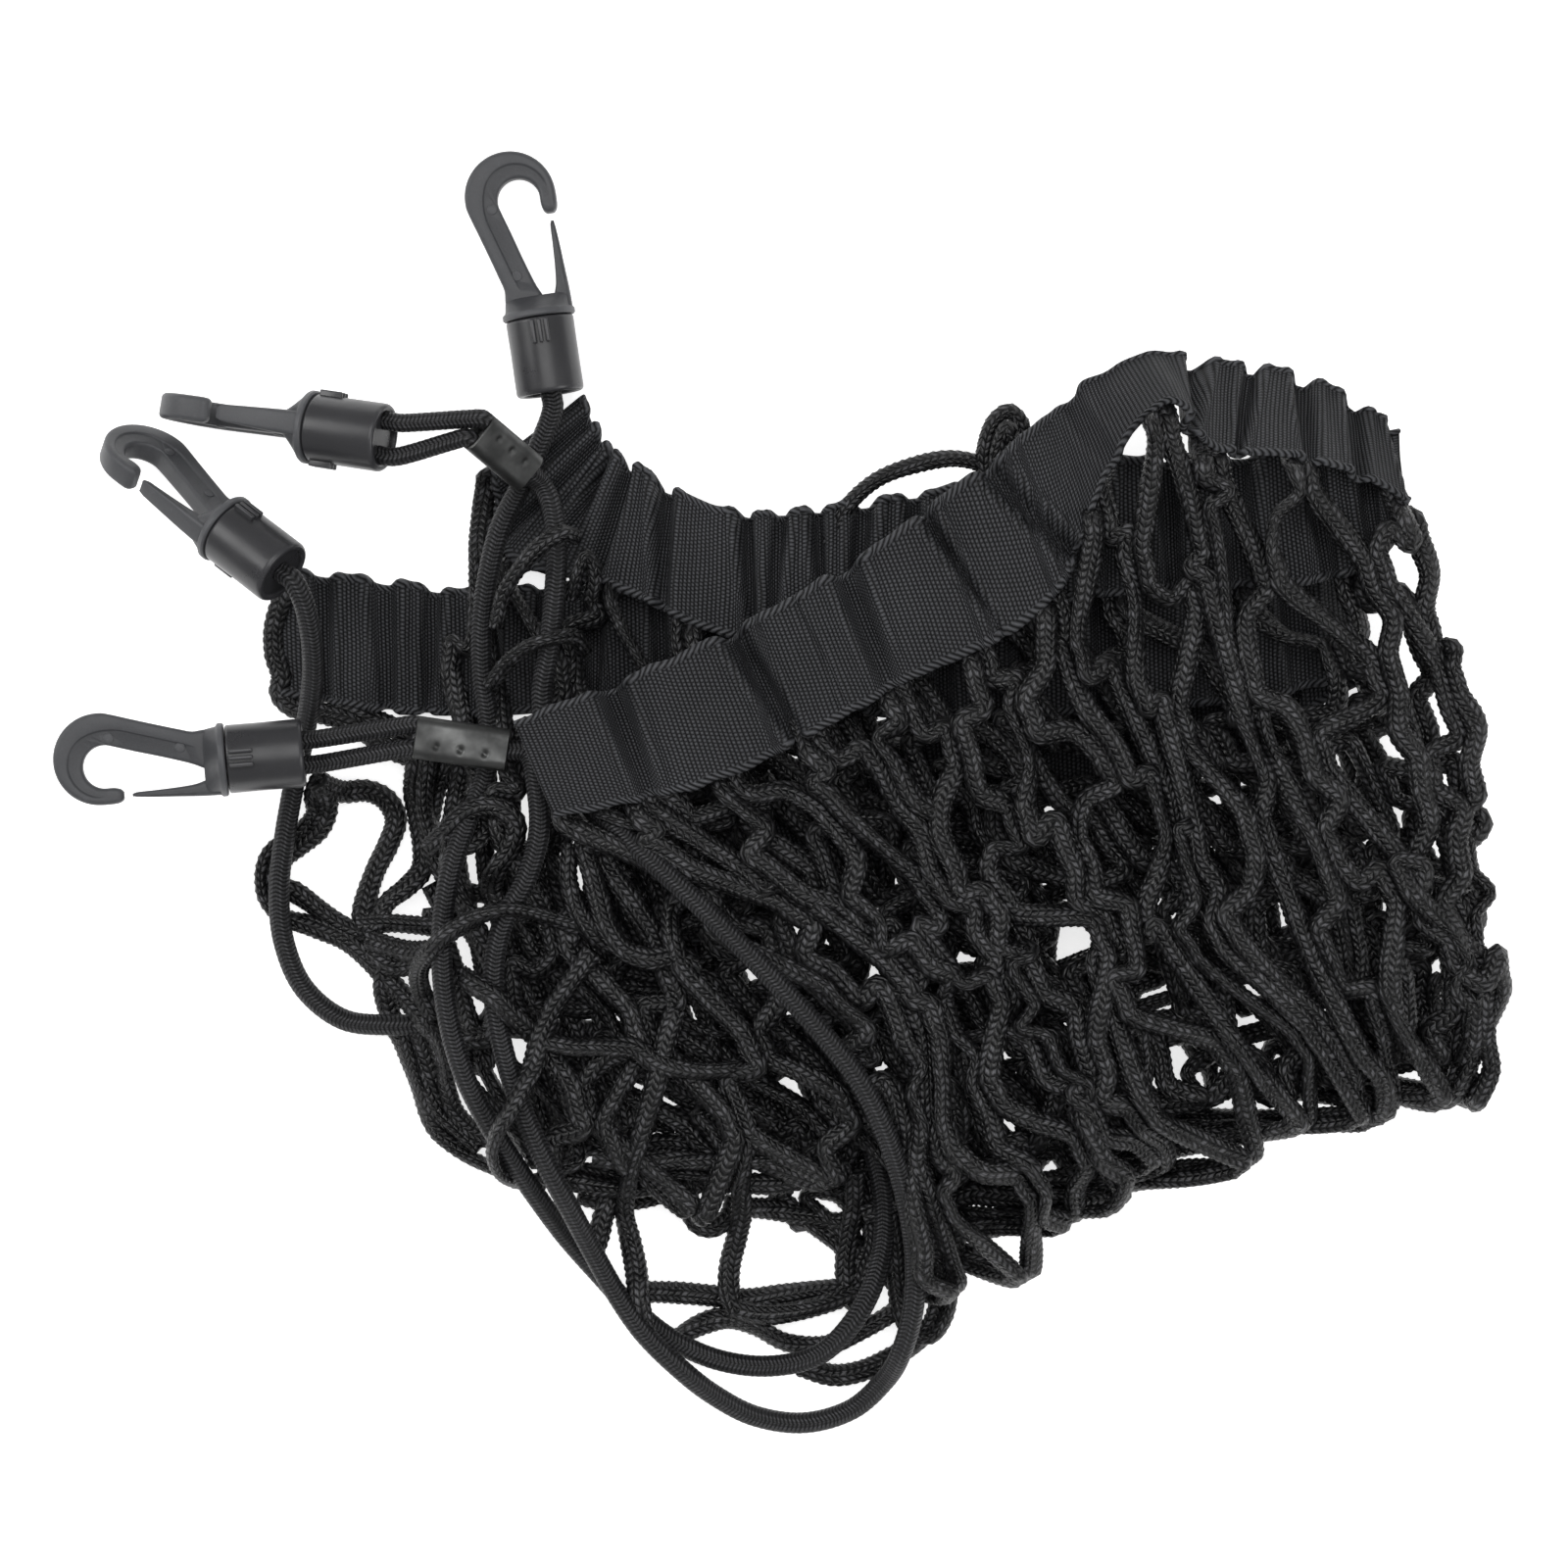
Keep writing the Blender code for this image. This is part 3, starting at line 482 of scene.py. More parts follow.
ferrulePlaces = {  # plan places of the two ends
    2: ((487, 439, 35.5), (538, 482, 21.8)),
    4: ((424, 752, 31), (519, 766, 31)),
}
ferrule = {  # in mm
    "wide": 11.8,
    "thick": 7.0,
    "round": 2.9,
    "wall": 0.9,
    "depth": 2.0,  # how deep its open ends look
    "dimples": (-0.26, 0.0, 0.26),  # along its length, from the middle
    "dimpleSide": -1.9,
    "dimple": (0.8, 0.9, 0.9),  # its radius along, its radius across and its depth
    "dimplesUp": {2: False, 4: True},
    "bulge": 0.35,  # depth of a dimple's mark on the far side
    "stations": 100,
    "parts": 15,  # across a flat side
    "sharp": 45,
}


def ferruleFrame(number):
    near, far = (Vector(place(*end)) for end in ferrulePlaces[number])
    run = (far - near).normalized()
    side = Vector((0, 0, 1)).cross(run).normalized()
    turn = Matrix((run, side, run.cross(side))).transposed().to_4x4()
    return Matrix.Translation((near + far) / 2) @ turn, (far - near).length


nearRoute = (  # from ferrule 4 to ferrule 2
    (549, 815, 31.5), (550, 850, 32), (543, 885, 32), (522, 922, 32), (506, 965, 32),
    (504, 1015, 32), (512, 1065, 31.5), (530, 1125, 31), (556, 1185, 30), (585, 1240, 25),
    (613, 1292, 18), (644, 1344, 15.5), (670, 1374, 15), (699, 1401, 13), (725, 1421, 8.5),
    (757, 1440, 4.5), (805, 1452, 3.2), (860, 1443, 3.2), (903, 1408, 9), (922, 1374, 20),
    (932, 1335, 23), (934, 1285, 25), (925, 1225, 32), (903, 1155, 40),
    (875, 1100, 44), (835, 1050, 46), (780, 990, 46), (710, 920, 44.5), (650, 865, 39), (605, 820, 33),
    (570, 775, 32), (553, 735, 32), (556, 690, 31.5), (563, 640, 29), (567, 580, 25), (567, 530, 22),
)
farRoute = (  # from cap 1 to cap 3
    (546, 465, 12.2), (528, 503, 14), (508, 545, 19), (496, 600, 21), (491, 650, 22),
    (493, 702, 23), (499, 740, 23), (496, 790, 23), (480, 830, 25), (464, 870, 28.5),
    (456, 910, 31), (451, 950, 32), (452, 1000, 32), (464, 1070, 31.5), (485, 1122, 30), (510, 1165, 26.5),
    (540, 1210, 20.5), (575, 1258, 12), (612, 1300, 8.5), (640, 1330, 8.5), (672, 1358, 8.5),
    (712, 1380, 8.5), (765, 1394, 8.5), (830, 1385, 11), (868, 1352, 14.5), (892, 1308, 13),
    (902, 1262, 10), (900, 1212, 8.6), (888, 1165, 8.6), (862, 1120, 8.6), (820, 1085, 8.6),
    (760, 1062, 8.6), (690, 1055, 8.6), (610, 1052, 8.6), (540, 1050, 7.8), (480, 1046, 6.6),
    (430, 1043, 6.5), (395, 1046, 7.4), (355, 1042, 5), (320, 1020, 4), (296, 982, 5.5),
    (285, 930, 7.6), (287, 880, 7.8), (293, 840, 8), (300, 800, 9), (308, 762, 11.5),
    (315, 725, 15.5), (319, 690, 21.5), (318, 655, 28), (312, 622, 33),
)
cord = {
    "diameter": 6.0 * mm,
    "tail": 5.2 * mm,  # the same cord, drawn thin behind a hook
    "lead": 5 * mm,  # straight run out of what holds its end
    "tuck": 1.2 * mm,  # run into a ferrule's mouth
    "turn": 7.5 * mm,  # depth of the turn inside a cap
    "spread": {2: 4.7 * mm, 4: 3.4 * mm},  # half the distance between two tails, at the cap
    "pinch": 3.3 * mm,  # and at the ferrule
    "step": 0.55 * mm,
    "sides": 18,
    "weave": 0.10 * mm,  # height of its cover's relief
    "ribPitch": 1.7 * mm,
    "routeStep": 14 * mm,  # between the points that steer an edge cord
    "tailStep": 3 * mm,  # and a tail
    "pathEvery": 8,  # stations from one declared point of its path to the next
}


def ledRoute(points, step):
    even = smoothLine(points, step)
    first, last = points[0], points[-1]
    clearFirst = np.linalg.norm(points[1] - first) * 1.5
    clearLast = np.linalg.norm(points[-2] - last) * 1.5
    kept = [
        p for p in even if np.linalg.norm(p - first) > clearFirst and np.linalg.norm(p - last) > clearLast
    ]
    return [first, points[1]] + kept + [points[-2], last]


def addCord(name, nodes, route, diameter, routeStep):
    line = smoothLine(ledRoute(route, routeStep), cord["step"])
    line[:, 2] = np.maximum(line[:, 2], diameter / 2 + 0.1 * mm)
    tangents, up = carried(line, (0.1, 0.2, 1.0))
    side = np.cross(up, tangents)
    angles = np.linspace(0, 2 * math.pi, cord["sides"], endpoint=False)
    along = walked(line)
    # the cover's ribs wind round the cord and stand a little proud
    wind = np.sin(angles[None, :] * 2 + along[:, None] / cord["ribPitch"] * 2 * math.pi)
    radius = diameter / 2 + cord["weave"] * (0.5 * wind - 0.5)
    rings = line[:, None, :] + radius[..., None] * (
        side[:, None, :] * np.cos(angles)[None, :, None] + up[:, None, :] * np.sin(angles)[None, :, None]
    )
    skin = Skin(name + "_cover", "braid")
    skin.add(rings, along)
    piece = addPiece(skin.name, skin.mesh(), cordFinish, nodes, "shock_cord")


def addCords():
    hooks = {number: hookFrame(number) for number in hookPlaces}
    ferrules = {number: ferruleFrame(number) for number in ferrulePlaces}
    mouthY = -(cap["length"] - 1) * mm
    lead, tuck = cord["lead"], cord["tuck"]

    def fromCap(number, reach):
        return np.array(hooks[number] @ Vector((0, mouthY - reach, 0)))

    def fromCapLevel(number, side, reach):  # two tails side by side, seen from above
        turned = hooks[number]
        back = -(turned.to_3x3() @ Vector((0, 1, 0)))
        across = Vector((0, 0, 1)).cross(back).normalized()
        return np.array(turned @ Vector((0, mouthY, 0)) + back * reach + across * side)

    def fromFerrule(number, end, side, reach):
        turned, length = ferrules[number]
        return np.array(turned @ Vector((end * (length / 2 + touch + reach), side, 0)))

    for number in ferrules:
        # out of the ferrule, round a turn inside the cap and back beside itself
        halves = []
        for side in (1, -1):
            spread, pinch = cord["spread"][number] * side, cord["pinch"] * side
            halves.append([
                fromFerrule(number, -1, pinch, -tuck), fromFerrule(number, -1, pinch, lead / 6),
                fromCapLevel(number, spread, lead), fromCapLevel(number, spread, 0),
                fromCapLevel(number, spread * 0.85, -cord["turn"] * 0.6),
            ])
        route = halves[0] + [fromCapLevel(number, 0, -cord["turn"])] + halves[1][::-1]
        nodes = ["tail_%d_a" % number, "tail_%d_b" % number]
        addCord("tail_%d" % number, nodes, route, cord["tail"], cord["tailStep"])
    near = [fromFerrule(4, 1, 0, -tuck), fromFerrule(4, 1, 0, lead)]
    near += [place(*point) for point in nearRoute]
    near += [fromFerrule(2, 1, 0, lead), fromFerrule(2, 1, 0, -tuck)]
    addCord("edge_cord_near", ["edge_cord_near"], near, cord["diameter"], cord["routeStep"])
    far = [fromCap(1, 0), fromCap(1, lead)] + [place(*point) for point in farRoute]
    far += [fromCap(3, lead), fromCap(3, 0)]
    addCord("edge_cord_far", ["edge_cord_far"], far, cord["diameter"], cord["routeStep"])


addCords()

# One row for each section across the heap, by its column of knots, with a point on each of the
# lines. upper and lower are the edges of the front webbing, middle and fold lie in the upper
# layers, and the rest beneath.
lineNames = ("upper", "lower", "middle", "fold", "underMiddle", "underLower", "underUpper")
sections = {
    0: ((523, 735, 43), (566, 835, 40), (835, 1040, 38.5), (955, 1348, 20),
        (715, 1130, 1.6), (650, 1005, 1.6), (600, 880, 1.5)),
    4: ((695, 665, 43), (742, 793, 40), (903, 985, 38.5), (1014, 1288, 20),
        (832, 1120, 1.6), (770, 932, 1.6), (722, 812, 1.5)),
    8: ((862, 575, 43), (912, 703, 40), (997, 947, 38.5), (1112, 1238, 20),
        (948, 1145, 1.6), (893, 878, 1.6), (862, 748, 1.5)),
    12: ((1018, 462, 42), (1072, 615, 41), (1104, 907, 38.5), (1213, 1188, 20),
         (1052, 1092, 1.6), (1018, 838, 1.6), (1003, 702, 1.5)),
    15: ((1110, 393, 33), (1142, 468, 45), (1190, 865, 38.5), (1300, 1165, 20),
         (1150, 1040, 1.6), (1127, 808, 1.6), (1120, 672, 1.5)),
    16.5: ((1168, 366, 38), (1196, 414, 50), (1246, 850, 38.5), (1350, 1142, 20),
           (1210, 1010, 1.6), (1187, 792, 1.6), (1180, 655, 1.5)),
    18: ((1240, 370, 28), (1236, 462, 44), (1310, 845, 38.5), (1400, 1135, 20),
         (1272, 980, 1.6), (1247, 772, 1.6), (1240, 635, 1.5)),
    20: ((1332, 388, 22), (1330, 472, 40), (1400, 842, 38.5), (1455, 1135, 20),
         (1362, 940, 2.4), (1318, 737, 2.0), (1308, 600, 2.0)),
    22: ((1420, 438, 24), (1436, 520, 31), (1500, 840, 32), (1494, 1112, 20),
         (1478, 880, 8.5), (1395, 690, 8.5), (1375, 560, 8.5)),
    24: ((1362, 452, 22), (1380, 588, 26), (1445, 850, 26), (1455, 1085, 20),
         (1380, 892, 15), (1285, 716, 15), (1283, 580, 14)),
    28: ((1140, 468, 24), (1142, 608, 26), (1245, 864, 26), (1278, 1118, 20.5),
         (1178, 924, 15), (1075, 731, 15), (1073, 594, 14)),
    33: ((905, 505, 25), (905, 640, 26), (1000, 900, 26), (1060, 1180, 20.5),
         (930, 965, 15), (827, 729, 13), (825, 592, 12)),
    37: ((745, 518, 22), (742, 650, 24), (795, 924, 26), (862, 1213, 20.5),
         (727, 981, 15), (628, 725, 10), (626, 588, 7.5)),
    40: ((648, 472, 12), (618, 598, 18), (640, 880, 26), (695, 1225, 20.5),
         (574, 1010, 15), (484, 732, 6), (482, 600, 4)),
    42: ((622, 452, 5), (520, 572, 9), (534, 845, 25), (572, 1205, 20.5),
         (508, 1006, 14), (387, 727, 4), (385, 588, 4)),
    44: ((598, 404, 1.8), (500, 478, 1.8), (444, 830, 23), (474, 1150, 19),
         (448, 985, 12), (288, 712, 4), (281, 578, 4)),
}
stations = list(sections)
lines = {name: [place(*row[n]) for row in sections.values()] for n, name in enumerate(lineNames)}
edgeNames = {"front": ("upper", "lower"), "rear": ("underUpper", "underLower")}


def lineAt(name, column):
    return smoothThrough(stations, lines[name], column)


net = {
    "columns": 44,
    "rows": 14,
    "foldRow": 7,
    "foldDrop": 0.12,  # how far down to the fold the row before it lies
    "riseRows": 3,  # rows over which the net comes away from the webbing's height
    "edgeGap": 3.6 * mm,  # from the webbing to the first knots
    "bar": 31 * mm,  # twine between two knots
    "join": 5.2 * mm,  # half the length that two twines run side by side
    "joinVaries": (0.75, 1.2),
    "apart": 2.2 * mm,  # half the distance between them
    "over": 1.5 * mm,  # and half the height that one lies over the other
    "wide": 6.6 * mm,
    "thick": 3.9 * mm,
    "sides": 10,
    "step": 0.7 * mm,
    "pitch": 2.1 * mm,  # of the stitches
    "relief": 0.42 * mm,
    "jitter": 5 * mm,  # of one knot
    "drift": 14 * mm,  # of neighbouring knots together
    "driftOver": (2.6, 2.0),  # columns and rows that it takes to change
    "calm": 0.42,  # share of both that the layers beneath the first one have
    "foldCalm": 0.55,  # share of them, and of the joins, at the bottom fold
    "rise": 0.28,  # share of them that moves a knot up or down
    "pairing": 0.22,  # columns by which two neighbours of the first layer lie closer
    "scallop": 2.6 * mm,  # of the bottom fold, and its columns from one to the next
    "scallopColumns": 4.4,
    "lean": 0.38,  # columns that a row is shifted by, in the upper layer
    "leanUnder": -0.28,  # and in the layers beneath it
    "strandsEach": 11,  # strands in one piece
    "looseFrom": 41,  # strands whose last rows are among the loose twines
    "looseRow": 11,
    "sewn": ((6, 3.4), (2, 2.8)),  # how deep under the webbing its end runs and how low, in mm
    "maxBow": 7 * mm,
    "lift": 1.2 * mm,  # up or down, of a bar's middle
    "twist": 1.9,  # most that the flat twine turns, in radians
    "twistRun": 30 * mm,  # length over which that changes
    "breadth": 0.10,  # share by which its width varies
    "breadthRun": 12 * mm,
    "turnFrom": 20,  # columns between which the net turns round the corner
    "turnTo": 24,
    "turnCalm": 0.4,
    "flat": (0.93, 0.26),  # spread out
    "flatLoose": (0.245, 0.26),
    "cover": 0.62,  # share of its flat size that the twine covers
    "seed": 23,
}


strayLoops = (  # loops and ends of twine that stick out beside the webbing
    ((846, 556, 24), (862, 520, 27), (894, 490, 30), (935, 474, 32), (975, 468, 33), (1010, 478, 32),
     (1030, 500, 30)),
    ((1004, 500, 31), (1004, 462, 34), (1013, 432, 36), (1030, 420, 36), (1043, 436, 35), (1040, 464, 33),
     (1040, 500, 31)),
    ((1016, 500, 34), (1018, 462, 38), (1028, 436, 39), (1034, 466, 37), (1026, 498, 33)),
    ((506, 640, 27), (514, 606, 30), (530, 580, 32.5), (552, 556, 34), (574, 544, 33), (588, 548, 28)),
    ((584, 610, 24), (588, 588, 28), (598, 566, 29), (606, 584, 27), (602, 612, 24)),
    ((500, 700, 27), (516, 678, 32), (538, 660, 36), (564, 651, 36), (586, 650, 32), (598, 664, 26)),
)

looseTwines = (  # twines of the two short sides, which hang free of the lattice
    # the loops at the left
    ((330, 790, 12), (320, 812, 9), (322, 832, 5), (300, 855, 2.6), (285, 862, 2.4), (273, 875, 2.4),
     (268, 895, 2.4), (272, 918, 2.4), (290, 936, 2.4), (320, 945, 2.4), (350, 957, 2.6), (378, 980, 4),
     (402, 1006, 6), (428, 1034, 11), (442, 1052, 12)),
    ((326, 800, 14), (334, 822, 8), (326, 845, 5), (306, 862, 2.6), (288, 876, 2.4), (280, 892, 2.4),
     (284, 906, 2.4), (300, 910, 2.4), (325, 927, 2.4), (350, 944, 2.6), (372, 955, 3)),
    ((328, 800, 14), (350, 808, 6), (375, 807, 3), (394, 816, 2.6), (404, 836, 2.6), (396, 862, 2.6),
     (384, 886, 2.6), (375, 912, 2.6), (371, 938, 4.6), (384, 962, 6)),
    ((432, 738, 5), (424, 782, 8), (422, 808, 5), (428, 835, 4), (432, 862, 4), (430, 888, 5), (414, 906, 6),
     (396, 920, 6.5), (385, 938, 7), (376, 955, 7)),
    ((464, 740, 6), (458, 778, 10), (447, 800, 8), (440, 826, 8), (438, 852, 8), (444, 876, 10),
     (458, 898, 12), (472, 925, 14)),
    ((448, 742, 7), (437, 790, 11), (434, 825, 11), (446, 860, 11), (464, 884, 11)),
    # at the end of the rear webbing
    ((300, 592, 8), (289, 612, 7), (280, 640, 6), (281, 668, 6), (288, 690, 6), (286, 708, 5), (300, 722, 5),
     (330, 728, 6), (362, 738, 6), (385, 756, 6), (404, 768, 6), (428, 776, 6)),
    ((345, 722, 5), (375, 732, 5), (405, 744, 5), (432, 752, 5)),
    # from the lowest loops at the left to the cords
    ((366, 946, 6), (395, 942, 8), (425, 944, 11), (452, 947, 16)),
    ((375, 958, 8), (400, 966, 12), (425, 972, 17), (447, 968, 24)),
    ((378, 968, 6), (398, 984, 8), (424, 986, 12), (446, 978, 18)),
    ((392, 988, 6), (392, 1012, 4), (400, 1040, 2.4), (410, 1062, 2.6), (418, 1085, 2.6), (428, 1112, 2.6),
     (438, 1138, 2.6), (452, 1158, 3), (475, 1178, 4), (505, 1192, 6), (535, 1202, 8)),
    ((428, 1040, 12), (444, 1058, 11), (453, 1082, 9), (456, 1110, 6), (464, 1135, 4.5), (482, 1154, 5),
     (508, 1162, 8), (532, 1156, 12)),
    ((425, 1052, 5), (433, 1078, 3.5), (440, 1105, 3.5), (450, 1132, 3.5), (466, 1152, 4), (490, 1172, 5)),
    # deep in the heap
    ((474, 770, 12), (466, 810, 12), (462, 850, 14), (468, 890, 14), (480, 930, 14), (492, 975, 14),
     (500, 1020, 14)),
    ((496, 775, 14), (498, 815, 16), (494, 860, 14), (500, 905, 13), (515, 950, 14), (530, 1000, 14),
     (548, 1050, 13), (560, 1100, 13), (572, 1150, 12)),
    ((520, 790, 16), (522, 835, 14), (520, 880, 12), (532, 925, 12), (550, 970, 12), (572, 1015, 12),
     (590, 1060, 12), (600, 1110, 13), (606, 1160, 13)),
    ((562, 800, 18), (560, 845, 16), (562, 890, 14), (574, 935, 14), (590, 975, 14), (608, 1020, 14),
     (622, 1065, 13), (632, 1110, 12), (640, 1150, 12)),
    ((455, 905, 10), (490, 912, 10), (530, 905, 10), (570, 915, 10), (610, 930, 10)),
    ((450, 1010, 9), (490, 1000, 9), (530, 985, 9), (570, 990, 9), (610, 1000, 9), (650, 1010, 9),
     (700, 1015, 9), (745, 1025, 10)),
    ((520, 1040, 14), (560, 1028, 14), (600, 1030, 14), (640, 1022, 14), (690, 1042, 14), (735, 1060, 14)),
    ((548, 1085, 10), (585, 1095, 10), (625, 1090, 10), (665, 1100, 10), (700, 1120, 10), (730, 1130, 10)),
    ((530, 1120, 8), (560, 1130, 8), (600, 1128, 8), (640, 1135, 8), (690, 1150, 8)),
    ((700, 975, 14), (712, 1010, 14), (722, 1045, 14), (728, 1080, 14), (720, 1120, 14), (712, 1160, 12)),
    ((655, 1196, 16), (700, 1197, 17), (750, 1196, 16)),
    ((560, 838, 10), (600, 834, 10), (650, 822, 10), (712, 811, 9), (775, 800, 9)),
    ((570, 946, 9), (605, 968, 9), (632, 989, 8), (673, 996, 8), (732, 976, 8), (785, 972, 8), (838, 971, 8),
     (880, 985, 8)),
    ((538, 985, 8), (550, 1010, 8), (556, 1035, 8), (550, 1062, 9), (548, 1110, 9), (556, 1146, 9),
     (572, 1166, 9)),
    ((735, 1038, 7), (775, 1018, 7), (827, 1019, 7), (870, 1036, 8), (912, 1058, 8), (950, 1075, 8)),
    ((728, 1052, 8), (765, 1050, 8), (810, 1047, 8), (852, 1060, 8)),
    ((556, 1186, 8), (582, 1175, 8), (611, 1167, 8), (640, 1154, 8), (675, 1142, 8), (708, 1136, 8),
     (760, 1130, 8), (790, 1150, 8)),
    ((645, 1170, 9), (682, 1165, 9), (722, 1172, 9), (762, 1178, 9)),
    ((585, 1197, 10), (612, 1196, 10), (642, 1198, 10), (690, 1190, 10), (745, 1174, 10)),
    ((900, 868, 9), (945, 858, 9), (984, 859, 9), (1040, 868, 9), (1100, 876, 9), (1160, 868, 9)),
    ((880, 958, 9), (941, 948, 9), (988, 963, 9), (1040, 985, 9), (1088, 1032, 9), (1135, 1040, 9),
     (1180, 1022, 9), (1225, 1010, 9)),
    ((1180, 790, 10), (1240, 768, 10), (1294, 756, 10), (1350, 748, 11), (1400, 735, 12)),
    ((860, 1190, 8), (900, 1110, 8), (925, 1092, 8), (975, 1140, 8), (1031, 1194, 8), (1060, 1215, 8)),
    ((690, 868, 9), (760, 860, 8), (840, 872, 9), (910, 850, 8), (990, 838, 9), (1060, 845, 8),
     (1140, 822, 9), (1220, 835, 8), (1300, 815, 9), (1380, 822, 10), (1450, 800, 14)),
    ((720, 925, 9), (790, 938, 8), (870, 920, 9), (950, 912, 8), (1030, 925, 9), (1110, 900, 8),
     (1190, 905, 9), (1270, 885, 8), (1350, 900, 9), (1430, 880, 12), (1475, 890, 15)),
    ((760, 1010, 8), (830, 1000, 9), (900, 1012, 8), (980, 990, 9), (1060, 995, 8), (1130, 975, 9),
     (1210, 985, 8), (1290, 965, 9), (1370, 975, 10), (1440, 955, 13), (1490, 965, 16)),
    ((840, 1130, 8), (900, 1105, 9), (970, 1110, 8), (1040, 1085, 9), (1110, 1080, 8), (1180, 1060, 9),
     (1260, 1058, 8), (1340, 1040, 9), (1410, 1045, 11), (1480, 1030, 14)),
    ((880, 1240, 8), (940, 1215, 9), (1000, 1190, 8), (1070, 1160, 9), (1140, 1140, 8), (1210, 1128, 9),
     (1290, 1100, 8), (1370, 1095, 10), (1450, 1080, 12)),
    # on top of the heap, some of them over the cords
    ((438, 866, 22), (452, 852, 26), (470, 832, 28), (490, 823, 29), (512, 826, 29), (526, 842, 28),
     (522, 864, 27), (506, 888, 26), (502, 908, 22), (512, 930, 20)),
    ((598, 845, 27), (598, 868, 30), (604, 892, 31), (611, 918, 31), (619, 945, 31), (635, 968, 30),
     (660, 978, 30), (690, 975, 28), (715, 985, 26)),
    ((582, 862, 28), (580, 895, 30), (588, 925, 30), (605, 952, 29), (622, 966, 26)),
    ((444, 1040, 12), (430, 1012, 14), (428, 988, 25), (440, 970, 35), (455, 955, 37.5),
     (478, 940, 37.5), (505, 930, 37.5), (532, 929, 34), (560, 936, 31), (590, 948, 28)),
    ((472, 996, 31), (486, 1006, 36.5), (505, 1018, 37.5), (522, 1036, 35), (540, 1052, 31),
     (552, 1064, 28)),
    ((604, 972, 29), (585, 998, 31), (565, 1028, 31), (552, 1058, 32), (545, 1085, 33), (533, 1110, 36),
     (520, 1135, 37.5), (506, 1158, 36), (503, 1180, 32), (512, 1198, 24),
     (530, 1206, 14), (556, 1206, 10)),
    ((556, 1062, 31), (585, 1068, 31), (620, 1068, 31), (648, 1070, 31), (668, 1084, 30), (700, 1092, 29),
     (745, 1092, 27), (780, 1080, 20), (805, 1062, 12)),
    ((650, 1085, 27), (632, 1115, 27), (618, 1145, 26), (628, 1175, 24), (640, 1195, 21)),
    ((612, 828, 36), (636, 838, 37.5), (664, 844, 37), (692, 842, 35), (720, 832, 34), (750, 822, 34),
     (785, 818, 32)),
    ((640, 822, 36), (668, 812, 37), (690, 818, 36), (704, 842, 34), (712, 872, 33), (722, 905, 31),
     (735, 940, 29)),
    # along the fold, and the open meshes below it
    ((605, 1182, 21), (650, 1186, 22), (700, 1184, 21), (745, 1186, 20), (790, 1180, 18)),
    ((548, 1196, 14), (590, 1206, 14), (640, 1214, 14), (690, 1207, 14), (740, 1206, 14), (790, 1208, 13),
     (830, 1200, 13), (868, 1192, 12)),
    ((590, 1218, 8), (620, 1225, 7), (655, 1224, 7), (690, 1214, 8)),
    ((690, 1030, 28), (680, 1060, 29), (672, 1095, 29), (662, 1130, 28), (652, 1165, 26), (643, 1200, 20),
     (637, 1235, 14), (643, 1265, 11), (649, 1295, 13), (652, 1325, 16.5), (657, 1345, 15.5),
     (664, 1361, 12.5), (672, 1375, 8), (682, 1385, 4.5), (690, 1390, 3)),
    ((626, 1218, 12), (616, 1240, 13), (611, 1262, 14), (606, 1278, 15)),
    ((705, 1212, 9), (704, 1236, 8), (712, 1250, 8), (728, 1253, 8), (744, 1240, 9), (750, 1222, 10)),
    ((772, 1150, 22), (762, 1180, 22), (756, 1210, 18), (757, 1235, 14), (752, 1262, 9), (745, 1290, 7),
     (744, 1315, 7), (750, 1338, 6)),
    ((872, 1196, 12), (872, 1230, 8), (866, 1262, 4.5), (863, 1295, 3.5), (868, 1322, 3), (884, 1340, 3)),
    ((880, 1205, 3.5), (888, 1240, 3), (890, 1268, 3), (880, 1296, 3), (872, 1318, 3)),
    ((655, 1318, 9), (690, 1319, 4), (725, 1322, 3), (760, 1326, 3), (800, 1321, 3), (840, 1316, 3),
     (868, 1314, 3)),
    ((742, 1332, 5.5), (775, 1341, 6), (812, 1338, 6), (850, 1328, 6), (878, 1316, 4)),
    ((757, 1232, 11), (790, 1234, 5), (820, 1240, 3.5), (850, 1246, 3.5), (876, 1244, 4)),
    ((690, 1366, 2.5), (714, 1352, 2.5), (742, 1345, 3), (772, 1354, 3), (800, 1369, 3), (838, 1374, 3),
     (870, 1362, 3), (902, 1345, 3), (922, 1330, 4), (938, 1310, 6), (948, 1285, 8), (952, 1255, 10),
     (950, 1225, 12)),
    ((815, 1393, 2.5), (850, 1403, 2.5), (882, 1398, 2.5), (912, 1384, 3), (936, 1368, 4), (952, 1350, 5),
     (960, 1325, 7), (963, 1298, 9), (960, 1268, 11), (953, 1238, 13), (948, 1210, 14)),
    ((905, 1240, 10), (912, 1275, 9), (916, 1310, 8), (922, 1345, 6), (936, 1362, 6), (953, 1362, 7),
     (966, 1342, 8), (971, 1312, 9), (974, 1280, 10), (978, 1250, 12)),
)


def netEdge(column, side):
    free, bound = (lineAt(name, column) for name in edgeNames[side])
    return bound + unit(bound - free) * net["edgeGap"]


def columnLine(column, upper):
    # Plan curve of one column of knots, from the webbing to the bottom fold.
    fold = lineAt("fold", column)
    outward = unit(fold - lineAt("middle", column))
    fold = fold + outward * net["scallop"] * math.cos(2 * math.pi * column / net["scallopColumns"])
    edge = netEdge(column, "front" if upper else "rear")
    middle = lineAt("middle" if upper else "underMiddle", column)
    t = np.linspace(0, 1, 61)[:, None]
    curve = edge * (2 * (t - 0.5) * (t - 1)) + middle * (4 * t * (1 - t)) + fold * (2 * t * (t - 0.5))
    return curve[:, :2], edge[2], middle[2], fold[2]


